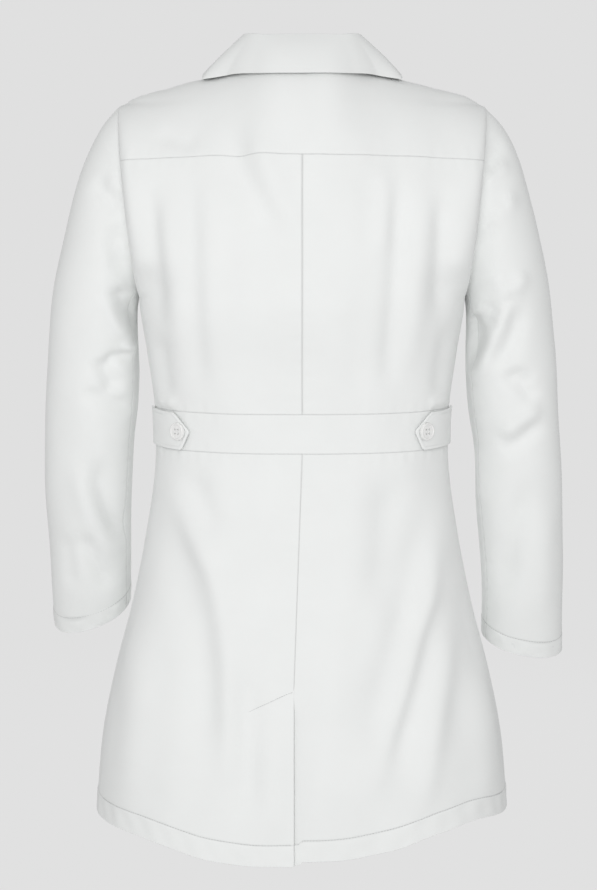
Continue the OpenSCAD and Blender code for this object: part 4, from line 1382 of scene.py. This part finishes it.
def line_row(side, x, z, d):
    """A stitch row d over the body's cloth, along a line of x and z."""
    return cloth_at(side, x, z, d), cloth_normal(side, x, z)


def hem_row(side, x0, x1, hem, extra=None):
    x = np.linspace(x0, x1, 300)
    for _ in range(2):
        a = angle_at(x, hem(angle_at(x, HEM_Z + 0 * x)) + HEM_TURN)
        z = hem(a) + HEM_TURN
    return line_row(side, x, z, -0.1 + (0 if extra is None else extra(x, z, None)[0]))


hem_end = HEM_HALF - 14
stitching("hem_stitches", [hem_row(BACK, -hem_end, VENT_EDGE - 3, back_hem, vent_under)])
stitching("hem_stitches_left", [hem_row(BACK, VENT_EDGE + 3, hem_end, back_hem, vent_lap)])
x = np.linspace(VENT_EDGE + 1, VENT_STITCH_END, 40)
z = vent_slant(x)
stitching("vent_stitches", [line_row(BACK, x, z, vent_lap(x, z, None)[0] + 0.25)], 0.1)
for name in ("hem_stitches_left", "vent_stitches"):
    BENDS[name] = ("coat", "vent_flap", VENT_BEND)
for s in (LEFT, RIGHT):
    rows = []
    x = s * np.linspace(6 - LAP, hem_end, 300)
    z = front_hem(angle_at(x, front_hem(angle_at(x, HEM_Z + 0 * x)) + HEM_TURN)) + HEM_TURN
    rows.append(line_row(FRONT, x, z, lapped(s)(x, z, None)[0] - 0.1))
    z = np.linspace(HEM_Z + 4, BREAK_Z - 18, 200)
    x = s * (front_edge_x(z) + 6)
    rows.append(line_row(FRONT, x, z, lapped(s)(x, z, None)[0] + 0.0))
    name = side_names("front_stitches", s)
    stitching(name, rows)
    bends_with_front(name, s)


def cuff_row(s, rise):
    """Stitches round the cuff, rise millimetres above its edge."""
    q = np.linspace(-math.pi, math.pi, 200)
    long = np.linalg.norm(sleeve_at(s, CUFF_K - 1, q) - sleeve_at(s, CUFF_K, q), axis=-1)
    k = CUFF_K - rise / long
    base = sleeve_at(s, k, q)
    away = unit(sleeve_at(s, k, q, 4.0) - base)
    return base + (sleeve_height(s, k, q, base) - 0.05)[..., None] * away, away


for s in (LEFT, RIGHT):
    name = side_names("cuff_stitches", s)
    stitching(name, [cuff_row(s, CUFF_TURN)])
    BODY_OF[name] = side_names("sleeve", s)


# ---- What each piece moves with -----------------------------------------------------------------------
for name, obj in PIECES.items():
    if name in BENDS:
        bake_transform(obj)
    else:
        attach(obj, BODY_OF.get(name, "coat"))

for name in ("front_buttons", "tab_button_left", "tab_button_right", "button_threads"):
    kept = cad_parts[name]
    kept.data.materials.clear()
    kept.data.materials.append(THREAD if name == "button_threads" else BUTTON)


# ---- Camera, light and stage --------------------------------------------------------------------------
GREY = 0.745                 # the plain pale ground, as radiance
CAMERA_AT = Vector((0.004, 1.5003, -0.1958))
CAMERA_AIM = Vector((0.004, 0.0, -0.42))
LENS = 52.58
FLOOR_RADIUS, FLOOR_Z, WALL_RISE = 4.6, -1.5, 3.2
WORLD_STRENGTH = 0.72


def dish(name, radius, floor_z, rise, rings=40, sectors=96):
    """A wide floor that curves up all round into a wall."""
    verts, faces = [(0, 0, floor_z)], []
    for i in range(1, rings + 1):
        t = i / rings
        turn = max(0, (t - 0.6) / 0.4) * math.pi / 2
        r = radius * (min(t, 0.6) / 0.6) * 0.7 + radius * 0.3 * math.sin(turn)
        z = floor_z + rise * (1 - math.cos(turn))
        verts += [(r * math.cos(2 * math.pi * k / sectors), r * math.sin(2 * math.pi * k / sectors), z)
                  for k in range(sectors)]
    for k in range(sectors):
        faces.append((0, 1 + k, 1 + (k + 1) % sectors))
    for i in range(rings - 1):
        a = 1 + i * sectors
        for k in range(sectors):
            k1 = (k + 1) % sectors
            faces.append((a + k, a + sectors + k, a + sectors + k1, a + k1))
    mesh = bpy.data.meshes.new(name)
    mesh.from_pydata(verts, [], faces)
    mesh.polygons.foreach_set("use_smooth", [True] * len(mesh.polygons))
    obj = bpy.data.objects.new(name, mesh)
    bpy.context.scene.collection.objects.link(obj)
    return obj


def paper(name, colour, glow):
    m = bpy.data.materials.new(name)
    m.use_nodes = True
    shader = m.node_tree.nodes["Principled BSDF"]
    shader.inputs["Base Color"].default_value = (colour, colour, colour, 1)
    shader.inputs["Roughness"].default_value = 1.0
    shader.inputs["Specular IOR Level"].default_value = 0.0
    shader.inputs["Emission Color"].default_value = (GREY, GREY, GREY, 1)
    shader.inputs["Emission Strength"].default_value = glow
    return m


floor = dish("floor", FLOOR_RADIUS, FLOOR_Z, WALL_RISE)
floor.data.materials.append(paper("pale_paper", 0.02, 0.985))
floor.visible_diffuse = False        # the light comes from the lamps and the world, not from the paper
floor.visible_glossy = False
floor.visible_shadow = False

world = bpy.data.worlds.new("studio")
bpy.context.scene.world = world
world.use_nodes = True
world.node_tree.nodes["Background"].inputs["Color"].default_value = (GREY, GREY, GREY, 1)
world.node_tree.nodes["Background"].inputs["Strength"].default_value = WORLD_STRENGTH


def soft_light(name, at, aim, size, power):
    light = bpy.data.lights.new(name, "AREA")
    light.shape = "DISK"
    light.size = size
    light.energy = power
    obj = bpy.data.objects.new(name, light)
    obj.location = at
    obj.rotation_euler = (Vector(aim) - Vector(at)).to_track_quat("-Z", "Y").to_euler()
    bpy.context.scene.collection.objects.link(obj)
    return obj


LAMP_AIM, LAMP_SIZE, LAMP_POWER = (0, 0, -0.4), 1.8, 29.5
for name, place in (("key_light", (0.12, 2.5, 0.0)), ("front_light", (-0.12, -2.5, 0.0))):
    soft_light(name, place, LAMP_AIM, LAMP_SIZE, LAMP_POWER)

camera_data = bpy.data.cameras.new("camera")
camera_data.lens = LENS
camera_data.sensor_width = 36
camera_data.clip_end = 50
camera = bpy.data.objects.new("camera", camera_data)
camera.location = CAMERA_AT
camera.rotation_euler = (CAMERA_AIM - CAMERA_AT).to_track_quat("-Z", "Y").to_euler()
bpy.context.scene.collection.objects.link(camera)
bpy.context.scene.camera = camera
bpy.context.scene.view_settings.view_transform = "Standard"
bpy.context.scene.view_settings.look = "None"

bpy.context.view_layer.update()
